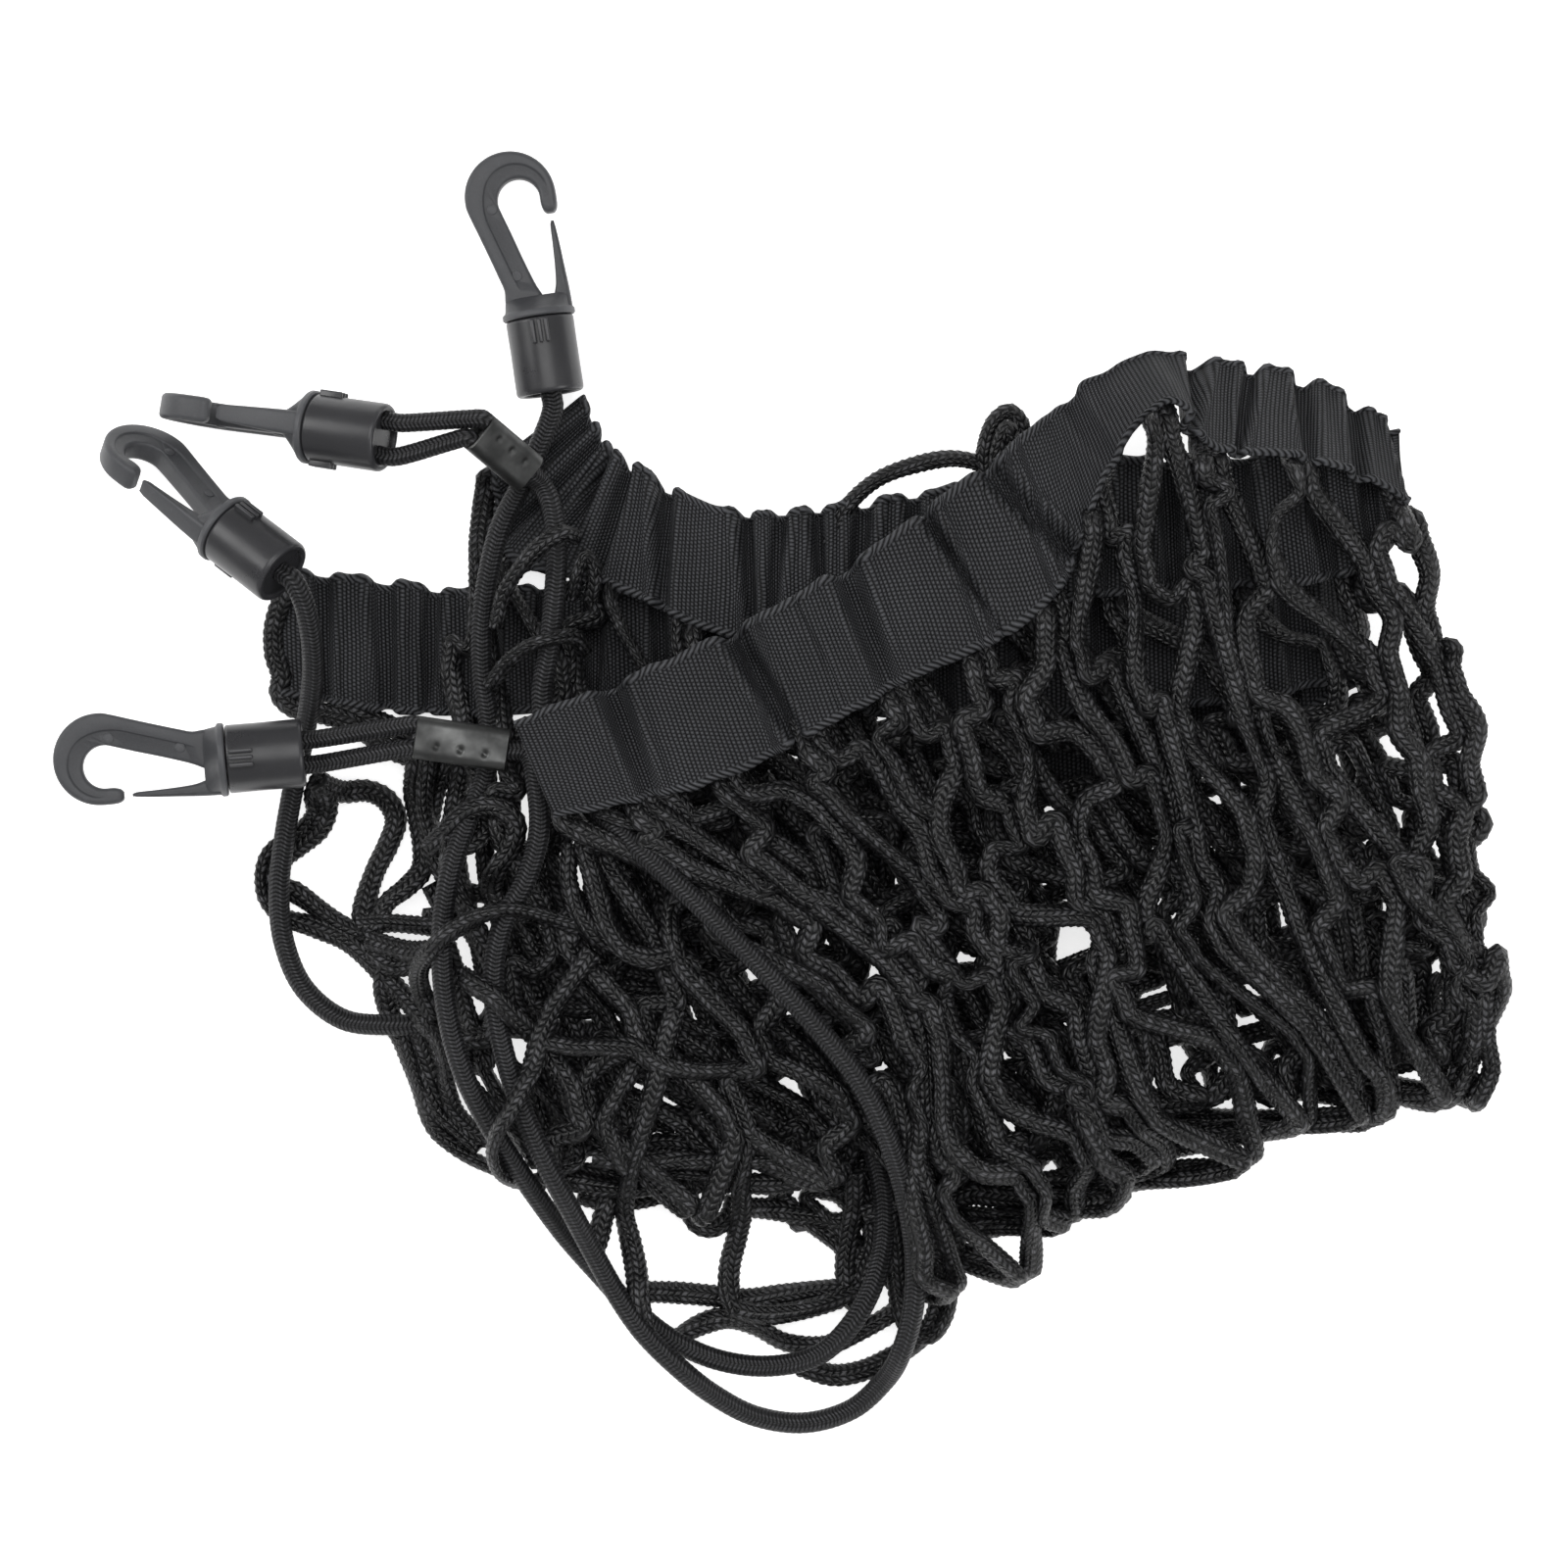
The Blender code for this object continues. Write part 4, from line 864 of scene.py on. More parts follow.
def leanOf(column, row):
    # How many columns a knot is shifted by: none at the ends, the folds and the webbing.
    half = net["columns"] / 2
    share = (column if column < half else column - half) / half
    swing = math.sin(math.pi * share) ** 0.6
    fromEdge = row if row <= net["foldRow"] else net["rows"] - row
    if column < half and row <= net["foldRow"]:
        paired = net["pairing"] * (-1 if column % 2 else 1) * min(fromEdge, net["foldRow"] - fromEdge, 1)
        return net["lean"] * fromEdge * swing + paired
    return net["leanUnder"] * fromEdge * swing


def knotPlace(column, row):
    upper = row <= net["foldRow"]
    fromEdge = row if upper else net["rows"] - row
    shifted = min(max(column + leanOf(column, row), 0), net["columns"])
    curve, edgeZ, middleZ, foldZ = columnLine(shifted, upper)
    reach = walked(curve)
    goal = reach[-1] * fromEdge / net["foldRow"]
    flat = [np.interp(goal, reach, curve[:, axis]) for axis in (0, 1)]
    if fromEdge == net["foldRow"]:
        height = foldZ
    elif fromEdge == net["foldRow"] - 1:
        height = middleZ + (foldZ - middleZ) * net["foldDrop"]
    else:
        rise = math.sin(math.pi / 2 * min(fromEdge / net["riseRows"], 1))
        height = edgeZ + (middleZ - edgeZ) * rise
    return np.array((flat[0], flat[1], height))


def layKnots(rng):
    # Slow drift moves neighbouring knots together, and each knot has its own jitter.
    knots = {}
    for column in range(-1, net["columns"] + 2):
        for row in range(-1, net["rows"] + 2):
            if (column + row) % 2:
                continue
            inColumn, inRow = min(max(column, 0), net["columns"]), min(max(row, 0), net["rows"])
            point = knotPlace(inColumn, inRow)
            fromEdge = min(inRow, net["rows"] - inRow, 2) / 2
            if inRow == net["foldRow"]:
                fromEdge *= net["foldCalm"]
            spot = Vector((column / net["driftOver"][0], row / net["driftOver"][1], 3.3))
            drift = np.array(noise.noise_vector(spot)) * net["drift"]
            if net["turnFrom"] < column < net["turnTo"]:
                drift *= net["turnCalm"]
            jitter = np.array([rng.uniform(-1, 1) for _ in range(3)]) * net["jitter"]
            calm = 1 if column < net["columns"] / 2 and row <= net["foldRow"] else net["calm"]
            knots[column, row] = point + (drift + jitter) * (1, 1, net["rise"]) * fromEdge * calm
    return knots


def columnOf(strand, row):
    # A strand goes to and fro between two columns of knots.
    return strand if (strand + row) % 2 == 0 else strand + 1


def strandPoints(strand, knots, rng):
    lastRow = net["rows"] if strand < net["looseFrom"] else net["looseRow"]
    spots = []
    for row in range(lastRow + 1):
        column = columnOf(strand, row)
        sideways = 1 if column == strand else -1
        ring = [knots[column + dx, row + dy] for dx, dy in ((-1, -1), (1, -1), (-1, 1), (1, 1))]
        across = unit(ring[1] + ring[3] - ring[0] - ring[2] + 1e-9)
        run = unit(ring[2] + ring[3] - ring[0] - ring[1] + 1e-9)
        if row == net["foldRow"]:
            run = unit(run * (1, 1, 0) + (0, 0, -1.0))
        across = unit(across - run * (across @ run))
        middle = knots[column, row] + across * sideways * net["apart"]
        middle[2] += net["over"] * sideways * (1 if (column + row // 2) % 2 else -1)
        join = net["join"] * (net["foldCalm"] if row == net["foldRow"] else rng.uniform(*net["joinVaries"]))
        spots.append((middle - run * join, middle, middle + run * join, run))
    points = []
    for row, (start, middle, end, run) in enumerate(spots):
        trio = [start, middle, end]
        column = columnOf(strand, row)
        sideways = net["apart"] * (1 if column == strand else -1)
        if row == 0:
            trio = underWebbing(column, sideways, "front") + [middle, end]
        elif row == net["rows"]:
            trio = [start, middle] + underWebbing(column, sideways, "rear")[::-1]
        points += trio
        if row < lastRow:
            points += slackPoints(end, spots[row + 1][0], rng)
    points = np.array(points)
    if lastRow < net["rows"]:
        points[-3:, 2] = 3 * mm  # its end lies under the heap
    points[:, 2] = np.maximum(points[:, 2], net["thick"] / 2 + 0.2 * mm)
    return points


def underWebbing(column, sideways, side):
    # The twine goes on under the webbing, where it is sewn.
    free, bound = (lineAt(name, column) for name in edgeNames[side])
    into = unit(free - bound)
    after, before = min(column + 0.3, net["columns"]), max(column - 0.3, 0)
    along = unit(lineAt(edgeNames[side][1], after) - lineAt(edgeNames[side][1], before))
    lift = unit(np.cross(along, into))
    lift = lift if lift[2] > 0 else -lift
    return [
        bound + into * deep * mm - lift * low * mm + along * sideways for deep, low in net["sewn"]
    ]


def slackPoints(start, end, rng):
    # A bar bows by as much as its twine is longer than the way between the knots: the middle
    # of a shallow arc stands out by 0.61 times the root of its span times its spare length.
    chord = end - start
    reach = np.linalg.norm(chord)
    spare = max(net["bar"] - 2 * net["join"] - reach, 0)
    bow = min(0.61 * math.sqrt(reach * spare), net["maxBow"]) * rng.choice((-1, 1)) * rng.uniform(0.5, 1)
    sideways = unit(np.cross(chord, (0, 0, 1.0)) + 1e-9)
    lift = np.array((0, 0, rng.uniform(-net["lift"], net["lift"])))
    return [start + chord * 0.5 + sideways * bow + lift]


def braidRings(line, rng, size=1.0):
    along = walked(line)
    tangents, up = carried(line, (0, 0, 1))
    phase, waves = rng.uniform(0, 9), rng.uniform(0, 9)
    sway = np.array([noise.noise(Vector((phase, waves, s / net["twistRun"]))) for s in along])
    twist = sway * net["twist"]
    side = np.cross(up, tangents)
    flat = side * np.cos(twist)[:, None] + up * np.sin(twist)[:, None]
    edge = np.cross(tangents, flat)
    angles = np.linspace(0, 2 * math.pi, net["sides"], endpoint=False)
    # one stitch column under each point, its stitches half a pitch from the next one's
    odd = np.arange(net["sides"]) % 2
    stitch = np.cos(2 * math.pi * (along[:, None] / net["pitch"] + odd[None, :] * 0.5))
    swell = np.array([noise.noise(Vector((waves, phase, s / net["breadthRun"]))) for s in along])
    breadth = 1 + net["breadth"] * swell
    x = (net["wide"] / 2 * breadth * size)[:, None] * np.cos(angles)[None, :]
    y = (net["thick"] / 2 / breadth * size ** 0.5)[:, None] * np.sin(angles)[None, :]
    grow = 1 + net["relief"] * (stitch - 0.2) / 2 / np.hypot(x, y)
    rings = line[:, None, :] + (x * grow)[..., None] * flat[:, None, :]
    rings = rings + (y * grow)[..., None] * edge[:, None, :]
    rings[..., 2] = np.maximum(rings[..., 2], 0)
    return rings, along


def layNet(skin):
    piece = addPiece(skin.name, skin.mesh(), twineFinish, ["net"], "net_twine")


def addNet():
    rng = random.Random(net["seed"])
    knots = layKnots(rng)
    each = net["strandsEach"]
    for number in range(net["columns"] // each):
        skin = Skin("net_part_%d" % (number + 1), "braid")
        for strand in range(number * each, (number + 1) * each):
            line = smoothLine(strandPoints(strand, knots, rng), net["step"])
            skin.add(*braidRings(line, rng))
        layNet(skin)
    skin = Skin("net_part_5", "braid")
    for loops, size in ((looseTwines, 0.95), (strayLoops, 0.72)):  # their share of the twine's width
        for loop in loops:
            line = smoothLine([place(*point) for point in loop], net["step"])
            skin.add(*braidRings(line, rng, size))
    layNet(skin)
    print("net laid in", net["columns"], "strands")


addNet()

webbing = {
    "width": webbingWide,
    "thick": 1.3 * mm,
    "selvedge": 1.3 * mm,  # radius of its corded edges
    "step": 0.75 * mm,  # between two stations along it
    "bands": 11,  # between its two corded edges
    "swell": 1.0 * mm,  # of the soft waves between the creases
    # the waves' pace along and across, what tells their noise apart, and their share
    "waves": ((0.9, 1.3, 0, 1), (3.1, 1.6, 5, 0.5)),
    "deeper": 1.75,  # on all the depths
    "guides": 900,  # stations that find its length
    "ahead": 0.4,  # columns to look ahead and back for its course
    "raised": 1.6 * mm,  # above its two edges
}
# One row for each crease: the column where it starts at the free edge and ends at the edge
# sewn to the net, its width there in columns, and how deep it is at the two edges, in mm.
creases = {
    "front": (
        (2.25, 2.25, 0.36, 4.6, 1.6), (5.15, 5.75, 0.30, 5.2, 2.4), (6.7, 7.0, 0.10, 0.6, 0.2),
        (7.95, 7.95, 0.34, 5.0, 0.8), (9.95, 10.7, 0.16, 3.4, 0.8), (11.6, 13.1, 0.26, 4.4, 3.2),
        (14.4, 14.9, 0.35, 1.0, 0.6), (17.55, 17.3, 0.26, 3.2, 2.4), (18.8, 18.6, 0.22, 2.4, 2.0),
        (19.9, 20.1, 0.24, 2.6, 1.4), (20.9, 20.9, 0.20, 2.2, 2.0), (21.8, 22.0, 0.24, 2.4, 1.2),
        (23.3, 23.5, 0.30, 3.8, 2.0), (24.6, 24.4, 0.26, 3.0, 2.6), (25.8, 26.0, 0.30, 3.8, 1.6),
        (27.1, 27.0, 0.24, 3.4, 2.4), (28.4, 28.7, 0.30, 4.2, 1.8), (29.8, 29.6, 0.26, 3.2, 2.0),
        (31.0, 31.3, 0.30, 3.8, 2.6), (32.4, 32.2, 0.24, 3.4, 1.4), (33.5, 33.8, 0.30, 4.4, 1.0),
        (34.7, 34.5, 0.22, 3.6, 2.4), (35.6, 35.9, 0.26, 3.4, 1.0), (36.6, 36.3, 0.26, 4.2, 2.2),
        (38.9, 38.6, 0.34, 4.6, 2.2), (40.2, 40.3, 0.30, 3.8, 2.8), (41.3, 41.0, 0.30, 4.0, 2.0),
        (42.3, 42.5, 0.28, 3.4, 1.4), (43.2, 43.3, 0.28, 3.4, 1.4),
    ),
    "rear": (
        (1.6, 1.8, 0.30, 2.6, 1.6), (3.3, 3.2, 0.30, 2.8, 2.0), (4.9, 5.1, 0.30, 2.4, 1.4),
        (6.4, 6.3, 0.30, 2.6, 1.8), (8.2, 8.4, 0.30, 2.6, 1.6), (9.9, 9.8, 0.30, 2.8, 1.6),
        (11.7, 11.8, 0.30, 2.6, 1.8), (13.3, 13.2, 0.30, 2.4, 1.6), (15.0, 15.2, 0.30, 2.6, 1.6),
        (16.6, 16.5, 0.30, 2.8, 2.0), (18.4, 18.5, 0.30, 2.4, 1.6), (20.0, 20.1, 0.30, 2.6, 1.6),
        (23.4, 23.3, 0.30, 2.6, 2.0), (25.1, 25.3, 0.30, 2.8, 1.6), (27.0, 26.9, 0.30, 2.6, 1.8),
        (28.6, 28.7, 0.30, 2.4, 1.6), (30.3, 30.2, 0.30, 2.8, 1.6), (31.9, 32.1, 0.30, 2.6, 2.0),
        (33.4, 33.3, 0.30, 3.0, 1.6), (34.9, 35.0, 0.28, 3.4, 2.2), (36.1, 36.0, 0.22, 3.6, 2.4),
        (37.3, 37.5, 0.26, 4.2, 3.0), (38.5, 38.4, 0.20, 3.2, 2.0), (39.6, 39.6, 0.28, 4.2, 3.0),
        (40.8, 41.0, 0.22, 3.4, 2.2), (41.9, 41.8, 0.28, 4.0, 3.0), (43.1, 43.1, 0.24, 3.6, 2.4),
    ),
}


creaseRows = {side: np.array(rows).T for side, rows in creases.items()}


def creaseAt(side, column, share):
    # Depth of the creases, each wider at the free edge and with a low lip at both sides, and
    # how far they pull the free edge in.
    free, bound, wide, deepFree, deepBound = creaseRows[side]
    across = 1 - (1 - share) ** 1.6
    offset = np.abs(column - (bound + (free - bound) * share)) / (wide * (0.6 + 0.42 * share))
    deep = deepBound + (deepFree - deepBound) * across
    dips = deep * np.exp(-(offset ** 4))
    lip = np.exp(-((offset - 1.45) ** 2) * 7) * deep * 0.2
    return np.array((dips.max() - lip.max(), dips.max() - 0.5 * lip.max())) * webbing["deeper"] * mm


def acrossPlaces():
    # Distances from the edge sewn to the net, close together at the two corded edges.
    edge = np.array((0, 0.14, 0.5, 1.0, 1.5, 1.86)) * webbing["selvedge"]
    first = 2.4 * webbing["selvedge"]
    inside = np.linspace(first, webbing["width"] - first, webbing["bands"])
    return np.concatenate((edge, inside, webbing["width"] - edge[::-1]))


def halfThickness(places):
    rim = np.minimum(places, webbing["width"] - places)
    radius = webbing["selvedge"]
    corded = np.sqrt(np.maximum(radius ** 2 - (rim - radius) ** 2, 0))
    return np.where(rim > radius, np.maximum(corded, webbing["thick"] / 2), corded)


def addWebbing(name, side, seed):
    names = edgeNames[side]
    places = acrossPlaces()
    shares = places / webbing["width"]
    guides = np.linspace(0, net["columns"], webbing["guides"])
    reach = walked(np.array([[lineAt(line, column) for line in names] for column in guides]).mean(1))
    count = int(reach[-1] / webbing["step"])
    columns = np.interp(np.linspace(0, reach[-1], count), reach, guides)
    middle = []
    for column in columns:
        free, bound = (lineAt(line, column) for line in names)
        ahead = [lineAt(line, min(column + webbing["ahead"], net["columns"])) for line in names]
        behind = [lineAt(line, max(column - webbing["ahead"], 0)) for line in names]
        lift = unit(np.cross(ahead[0] + ahead[1] - behind[0] - behind[1], free - bound))
        lift = lift if lift[2] > 0 else -lift
        across = unit(free - bound)
        row = []
        for share in shares:
            dip, drawn = creaseAt(side, column, share)
            soft = 0
            for along, over, apart, part in webbing["waves"]:
                spot = Vector((column * along, share * over, seed + apart))
                soft += noise.noise(spot) * webbing["swell"] * part
            sway = noise.noise(Vector((column * 1.7, seed, 8.1))) * webbing["swell"]
            pull = -0.3 * drawn * (share ** 4 - 0.7 * (1 - share) ** 4)
            pull += sway * (share ** 4 - (1 - share) ** 4)
            level = bound + (free - bound) * share
            room = level[2] + 0.3 * mm  # a crease never reaches the floor
            dip = room * (1 - math.exp(-dip / room)) if dip > 0 else dip
            row.append(level + across * pull + lift * (soft - dip + webbing["raised"]))
        middle.append(row)
    middle = np.array(middle)
    normals = unit(np.cross(np.gradient(middle, axis=0), np.gradient(middle, axis=1)))
    if normals[..., 2].mean() < 0:
        normals = -normals
    half = halfThickness(places)[None, :, None]
    rings = np.concatenate((middle + normals * half, (middle - normals * half)[:, ::-1]), axis=1)
    rings[..., 2] = np.maximum(rings[..., 2], 0.05 * mm)
    reach = walked(middle[:, len(places) // 2])
    skin = Skin(name + "_cloth", "weave")
    skin.add(rings, reach, np.concatenate((places, places[::-1], places[:1])))
    mesh = skin.mesh()
    faceOutward(mesh)
    piece = addPiece(name + "_cloth", mesh, webbingFinish, [name], "webbing")
    print(name, "is", round(float(reach[-1]), 3), "m long before it is gathered")


addWebbing("webbing_front", "front", 3)
addWebbing("webbing_rear", "rear", 5)

# The hook, in mm: x towards the gate, y along its axis from the cap. An edge row is the
# outer x and y, then the inner x and y.
hook = {
    "thick": 7.0,
    "corner": 1.25,
    "cornerShare": 0.32,  # of its width or thickness, at most
    "station": 0.5,  # from one ring of its edges to the next
    "sharp": 38,  # angle from which an edge looks sharp, in degrees
    "head": (-3.0, 34.5, 12.6),
    "eye": (-0.8, 33.3, 5.9),
    "spine": ((-7.6, 1.2, 3.2, 1.2), (-8.6, 5.2, 2.2, 5.6), (-8.4, 8.8, 0.6, 9.2), (-9.4, 12.6, -0.6, 12.6),
              (-11.0, 18.0, -2.3, 18.0), (-13.0, 24.5, -4.2, 24.5)),
    "noseThins": (0.1, 0.3, 0.6, 1.1, 1.9),  # at the last rings of the nose
    "nose": ((9.55, 31.2, 5.15, 31.2), (9.2, 29.6, 5.6, 29.5), (8.5, 28.75, 6.4, 28.7)),
    "gate": ((9.6, 2.0, 4.8, 2.0), (9.5, 6.0, 5.2, 6.0), (9.35, 9.0, 6.0, 9.0), (9.0, 14.0, 6.45, 14.0),
             (8.6, 20.0, 6.7, 20.0), (8.1, 25.3, 6.85, 25.3), (7.8, 26.35, 7.2, 26.35)),
    "gateThick": ((0, 0.2, 0.93, 1), (7.0, 6.6, 4.6, 3.4)),  # by the share of its length
    "recess": 0.55,  # depth of the inner band of the flat faces
    "recessAt": 0.56,  # where its step runs, from the inner edge
    "recessStep": ((-0.4, 1), (-0.15, 0.85), (0.15, 0.15), (0.4, 0)),  # its slope
    "recessFrom": (16, 8),  # ring where it starts and rings over which it deepens
    "recessTo": (12, 10),  # the same, from the end of the nose
    "marks": ((-4.3, 12.4), (-8.4, 31.6)),
    "mark": (1.4, 0.32),  # radius and height
    "base": (  # y, half width, half height, middle, squareness
        (0.3, 9.7, 9.7, 0, 2), (0.7, 10.1, 10.1, 0, 2), (1.8, 10.1, 10.1, 0, 2), (2.2, 9.8, 9.8, 0, 2),
        (2.4, 9.3, 9.2, 0, 2.2), (3.0, 9.15, 8.2, 0, 2.4), (4.2, 9.05, 6.2, 0.1, 3),
        (5.2, 8.95, 4.7, 0.2, 3.8), (5.9, 8.8, 3.9, 0.3, 4.5), (6.3, 8.4, 3.5, 0.3, 4.5),
    ),
}
ringPoints = 72  # of a turned or lofted form


def smoothEdges(rows):
    rows = np.array(rows, float)
    outer = np.column_stack((rows[:, :2], np.zeros(len(rows))))
    inner = np.column_stack((rows[:, 2:], np.zeros(len(rows))))
    count = round(walked(outer)[-1] / hook["station"])
    lines = []
    for side in (outer, inner):
        fine = smoothLine(side, 0.1)
        lines.append(evenly(fine, walked(fine)[-1] / count)[:count + 1])
    return lines


def headRows():
    rows = []
    for angle in range(190, -1, -10):
        c, s = math.cos(math.radians(angle)), math.sin(math.radians(angle))
        rows.append((
            hook["head"][0] + hook["head"][2] * c, hook["head"][1] + hook["head"][2] * s,
            hook["eye"][0] + hook["eye"][2] * c, hook["eye"][1] + hook["eye"][2] * s,
        ))
    return rows


def barRings(outer, inner, thickness, recess):
    # Rounded bar between two edges, with the inner band of its flat faces recessed.
    rings = []
    for n, (out, into) in enumerate(zip(outer, inner)):
        width = np.linalg.norm(out - into)
        way = (out - into) / width
        most = hook["cornerShare"]
        corner = min(hook["corner"], width * most, thickness[n] * most)
        half, deep = thickness[n] / 2, recess[n]
        upper = []
        for angle in np.linspace(0, math.pi / 2, 5):
            upper.append((corner * (1 - math.cos(angle)), half - deep - corner * (1 - math.sin(angle))))
        at = width * hook["recessAt"]
        upper += [(at + x, half - deep * share) for x, share in hook["recessStep"]]
        for angle in np.linspace(math.pi / 2, 0, 5):
            upper.append((width - corner * (1 - math.cos(angle)), half - corner * (1 - math.sin(angle))))
        section = upper + [(x, -z) for x, z in reversed(upper)]
        rings.append([into + way * x + np.array((0, 0, z)) for x, z in section])
    return np.array(rings) * mm


def turned(profile):
    # A turned form about y, from a profile of radius and y in mm that starts and ends on the axis.
    angles = np.linspace(0, 2 * math.pi, ringPoints, endpoint=False)
    rings = [[(r * math.cos(a), y, r * math.sin(a)) for a in angles] for r, y in profile[1:-1]]
    return np.array(rings) * mm


def lofted(rows):
    # Rounded sections along y, from a circle to nearly a box.
    rings = []
    for y, halfX, halfZ, middle, square in rows:
        ring = []
        for n in range(ringPoints):
            angle = 2 * math.pi * n / ringPoints
            c, s = math.cos(angle), math.sin(angle)
            x = math.copysign(abs(c) ** (2 / square), c) * halfX + middle
            ring.append((x, y, math.copysign(abs(s) ** (2 / square), s) * halfZ))
        rings.append(ring)
    return np.array(rings) * mm


def meshOf(name, rings):
    skin = Skin(name, "form")
    skin.add(rings, np.linspace(0, 1, len(rings)))
    mesh = skin.mesh()
    faceOutward(mesh, merge=0.002 * mm)
    return mesh


def meshFrom(work, name):
    mesh = bpy.data.meshes.new(name)
    work.to_mesh(mesh)
    work.free()
    return mesh


def roundedBox(size, corner, at):
    work = bmesh.new()
    bmesh.ops.create_cube(work, size=1.0)
    for vert in work.verts:
        vert.co = Vector([c * s * mm for c, s in zip(vert.co, size)])
    bmesh.ops.bevel(work, geom=work.edges[:], offset=corner * mm, segments=3, profile=0.5, affect="EDGES")
    bmesh.ops.translate(work, verts=work.verts, vec=Vector(at) * mm)
    return meshFrom(work, "box")


def disc(at, radius, half):
    work = bmesh.new()
    spot = Matrix.Translation(Vector((at[0], at[1], 0)) * mm)
    bmesh.ops.create_cone(
        work, cap_ends=True, segments=32, radius1=radius * mm, radius2=radius * mm,
        depth=2 * half * mm, matrix=spot,
    )
    rims = [edge for edge in work.edges if abs(edge.verts[0].co.z - edge.verts[1].co.z) < 1e-7]
    bmesh.ops.bevel(work, geom=rims, offset=0.15 * mm, segments=2, profile=0.5, affect="EDGES")
    return meshFrom(work, "disc")


def moulded(name, meshes):
    # Joins closed forms into one moulding.
    body = addObject(name, meshes[0])
    others = []
    for mesh in meshes[1:]:
        others.append(addObject(name + "_form", mesh))
        joined = body.modifiers.new("joined", "BOOLEAN")
        joined.operation = "UNION"
        joined.solver = "MANIFOLD"
        joined.object = others[-1]
    bpy.context.view_layer.update()
    mesh = bpy.data.meshes.new_from_object(body.evaluated_get(bpy.context.evaluated_depsgraph_get()))
    for form in others + [body]:
        bpy.data.objects.remove(form)
    mesh.name = name
    mesh.shade_smooth()
    mesh.set_sharp_from_angle(angle=math.radians(hook["sharp"]))
    return mesh


def hookMesh():
    outer, inner = smoothEdges(hook["spine"] + tuple(headRows()) + hook["nose"])
    count = len(outer)
    thickness = np.full(count, hook["thick"])
    thickness[-5:] -= np.array(hook["noseThins"])
    (start, rising), (end, falling) = hook["recessFrom"], hook["recessTo"]
    ring = np.arange(count)
    fade = np.clip((ring - start) / rising, 0, 1) * np.clip((count - end - ring) / falling, 0, 1)
    spine = meshOf("spine", barRings(outer, inner, thickness, hook["recess"] * fade))
    outer, inner = smoothEdges(hook["gate"])
    count = len(outer)
    taper = np.interp(np.arange(count) / (count - 1), *hook["gateThick"])
    gate = meshOf("gate", barRings(outer, inner, taper, np.zeros(count)))
    base = meshOf("base", lofted(hook["base"]))
    radius, high = hook["mark"]
    marks = [disc(at, radius, hook["thick"] / 2 - hook["recess"] + high) for at in hook["marks"]]
    return moulded("hook", [spine, gate, base] + marks)


def capMesh():
    r, length, inside = cap["radius"], cap["length"], cap["mouth"]
    floor = cap["mouthDepth"] - length
    profile = (
        (0, 0), (r - 0.7, 0), (r - 0.25, -0.12), (r, -0.5), (r, -0.9), (r - 0.06, -8),
        (r, 1.4 - length), (r - 0.1, 0.7 - length), (r - 0.4, 0.2 - length), (r - 0.9, -length),
        (inside + 0.5, -length), (inside + 0.1, 0.25 - length), (inside, 0.7 - length),
        (inside, floor), (0, floor),
    )
    body = meshOf("cap", turned(profile))
    width, long, high = cap["rib"]
    sunk = cap["ribSunk"]
    ribs = []
    for side in (-1, 1):
        for n in range(cap["ribs"]):
            x = (n - (cap["ribs"] - 1) / 2) * cap["ribGap"]
            foot = math.sqrt(r * r - x * x)
            at = (x, -0.7 - long / 2, side * (foot + r + high - sunk) / 2)
            ribs.append(roundedBox((width, long, r + high - foot + sunk), 0.35, at))
    return moulded("cap", [body] + ribs)


def addHooks():
    hookData, capData = hookMesh(), capMesh()
    for number in hookPlaces:
        turn = hookFrame(number)
        for kind, data, finish in (("hook", hookData, hookFinish), ("cap", capData, capFinish)):
            mesh = data.copy()
            mesh.transform(turn)
            node = "%s_%d" % (kind, number)
            addPiece(node + "_moulding", mesh, finish, [node], kind + "_plastic")
    print("hooks and caps moulded")


addHooks()


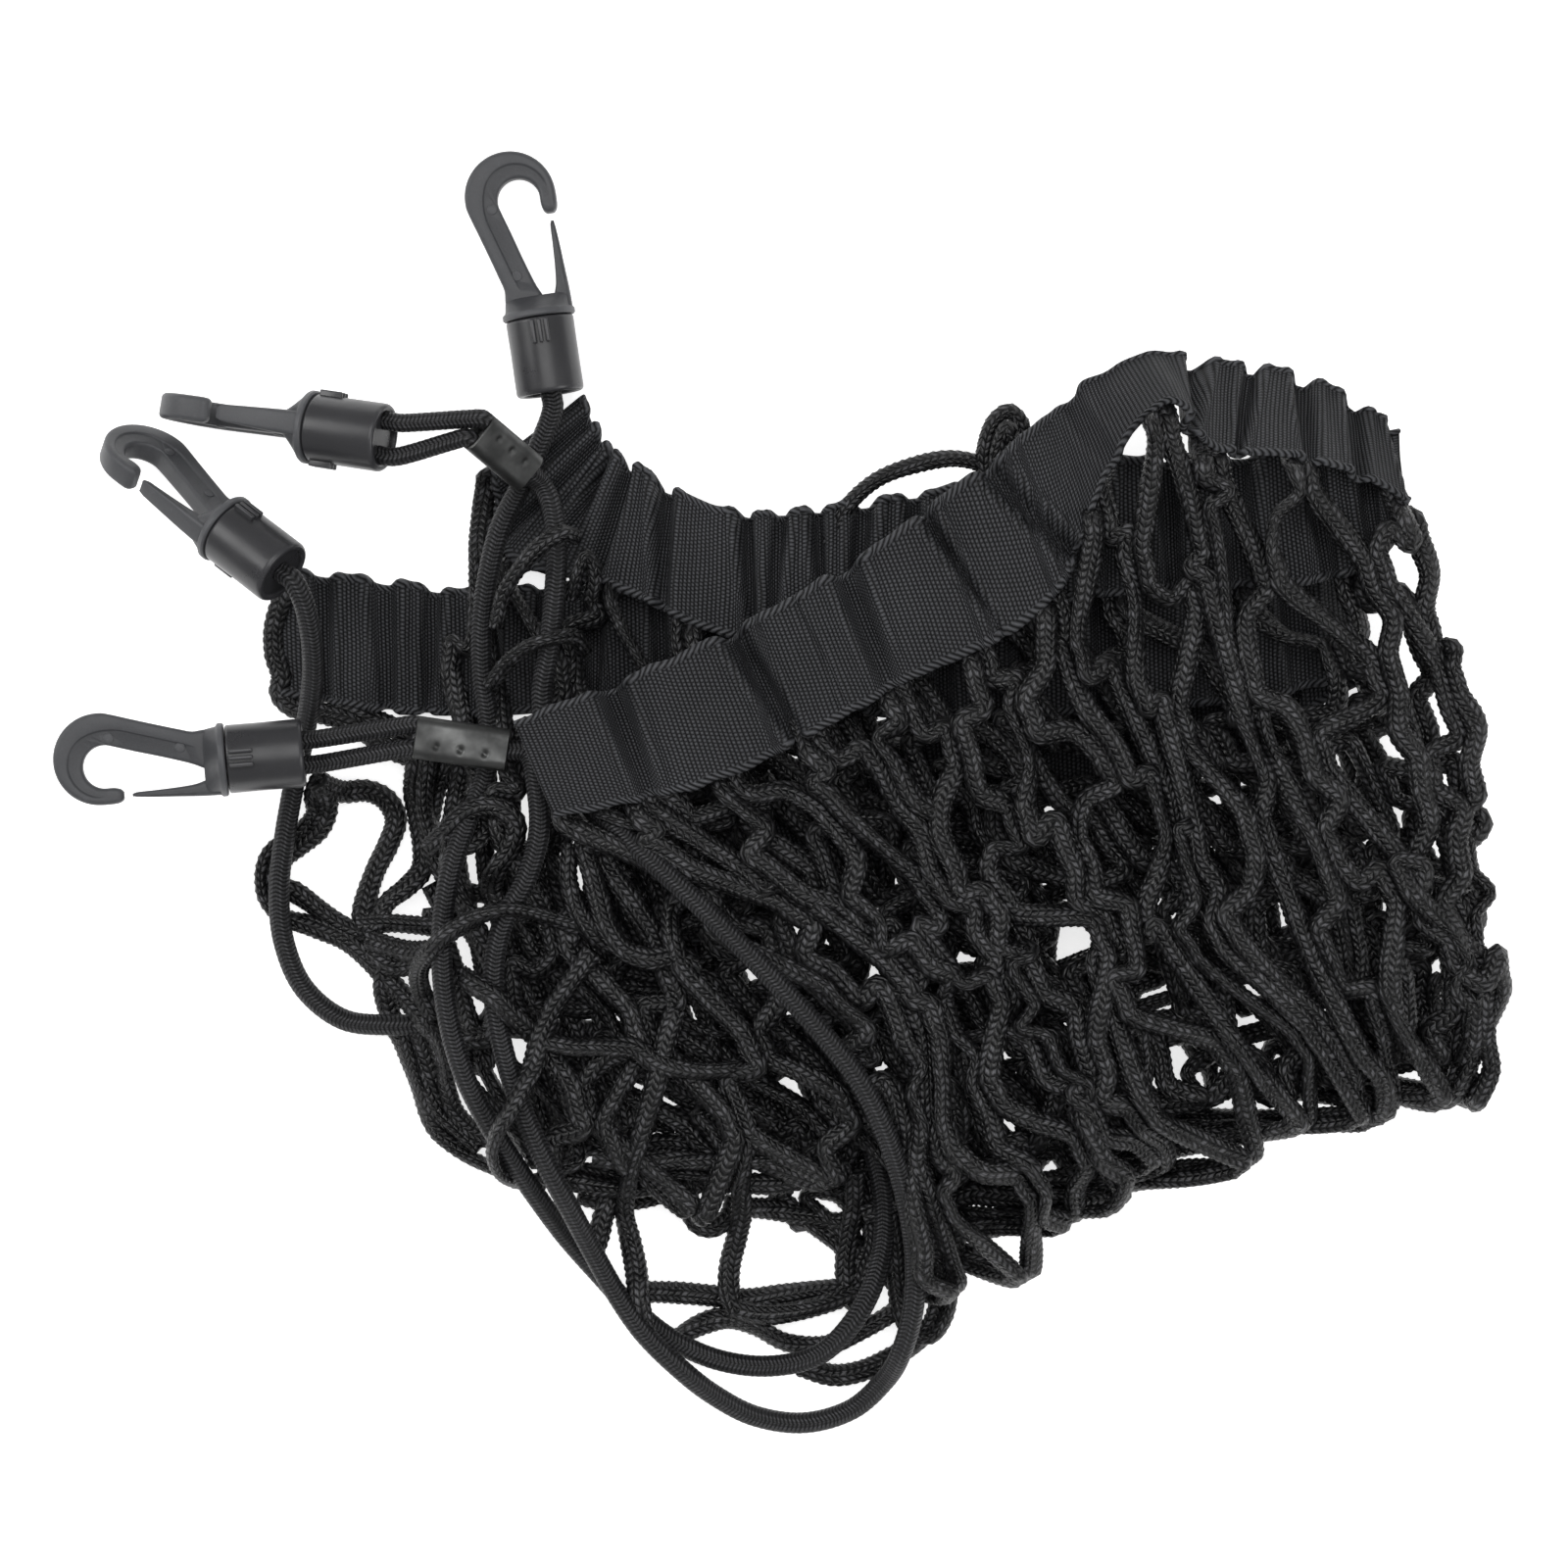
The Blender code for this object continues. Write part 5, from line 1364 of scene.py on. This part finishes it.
def ferruleRings(length):
    # A flattened sleeve with open ends: its rings run out of one mouth, along it and into the other.
    half, wall = length / 2 / mm, ferrule["wall"]
    mouth = [(ferrule["depth"], wall), (0.3, wall), (0.0, wall - 0.3), (0.0, 0.35), (0.3, 0.0)]
    stations = [(x - half, sunk) for x, sunk in mouth]
    stations += [(x, 0.0) for x in np.linspace(0.8 - half, half - 0.8, ferrule["stations"])]
    stations += [(half - x, sunk) for x, sunk in mouth[::-1]]
    corners = []
    for quarter in range(4):
        for angle in np.linspace(0, math.pi / 2, 9):
            corners.append((quarter, angle + quarter * math.pi / 2))
    rings = []
    for x, sunk in stations:
        ring = []
        for quarter, angle in corners:
            a, b = ferrule["wide"] / 2 - sunk, ferrule["thick"] / 2 - sunk
            corner = ferrule["round"] - sunk
            cx = (a - corner) * (1 if quarter in (0, 3) else -1)
            cz = (b - corner) * (1 if quarter in (0, 1) else -1)
            ring.append((x, cx + corner * math.cos(angle), cz + corner * math.sin(angle)))
        # more points across the flat top and bottom, for the dimples
        ring = np.array(ring)
        full = []
        for n, point in enumerate(ring):
            follow = ring[(n + 1) % len(ring)]
            gap = np.linalg.norm(follow - point)
            parts = ferrule["parts"] if gap > 2 else 1
            full += [point + (follow - point) * k / parts for k in range(parts)]
        rings.append(full)
    rings = np.array(rings)
    reach, breadth, sunk = ferrule["dimple"]
    for share in ferrule["dimples"]:
        along = (rings[..., 0] - share * 2 * half) / reach
        fall = np.exp(-(along ** 2 + ((rings[..., 1] - ferrule["dimpleSide"]) / breadth) ** 2))
        fall = np.where(np.abs(rings[..., 0]) < half - 0.5, fall, 0)
        rings[..., 2] -= np.where(rings[..., 2] > 0, fall * sunk, 0)
        rings[..., 2] += np.where(rings[..., 2] < 0, fall * ferrule["bulge"], 0)
    return rings * mm


def addFerrules():
    for number in ferrulePlaces:
        turn, length = ferruleFrame(number)
        mesh = meshOf("sleeve", ferruleRings(length))
        if not ferrule["dimplesUp"][number]:
            mesh.transform(Matrix.Rotation(math.pi, 4, "X"))
        mesh.transform(turn)
        mesh.shade_smooth()
        mesh.set_sharp_from_angle(angle=math.radians(ferrule["sharp"]))
        node = "ferrule_%d" % number
        addPiece(node + "_sleeve", mesh, ferruleFinish, [node], "ferrule_zinc")
    print("ferrules crimped")


addFerrules()

studio = {
    "floor": (0.90, 0.90, 0.90),
    "floorGlow": 0.72,
    "floorDrop": 0.2 * mm,
    "room": 0.32,
    "lights": (  # name, place, size, watts
        ("overhead", (0.0, 0.35, 1.9), 1.4, 15),
        ("left", (-1.3, 0.5, 1.0), 0.8, 9),
        ("right", (1.2, -0.6, 1.1), 0.8, 7),
    ),
}


def addStudio():
    scene.view_settings.view_transform = "Standard"
    world = bpy.data.worlds.new("room")
    world.use_nodes = True
    light = world.node_tree.nodes["Background"].inputs
    light["Color"].default_value = (1, 1, 1, 1)
    light["Strength"].default_value = studio["room"]
    scene.world = world
    work = bmesh.new()
    bmesh.ops.create_grid(work, x_segments=1, y_segments=1, size=3)
    mesh = meshFrom(work, "floor")
    pale = Finish("paleFloor", roughness=0.8, specular=0.2)
    pale.shader.inputs["Base Color"].default_value = (*studio["floor"], 1)
    pale.shader.inputs["Emission Color"].default_value = (1, 1, 1, 1)
    pale.shader.inputs["Emission Strength"].default_value = studio["floorGlow"]
    mesh.materials.append(pale.material)
    floor = addObject("floor", mesh)
    floor.location.z = -studio["floorDrop"]
    for name, spot, size, watts in studio["lights"]:
        data = bpy.data.lights.new(name, "AREA")
        data.size = size
        data.energy = watts
        lamp = addObject(name, data)
        lamp.location = spot
        lamp.rotation_euler = (-Vector(spot)).to_track_quat("-Z", "Y").to_euler()


addStudio()
print("studio lit")
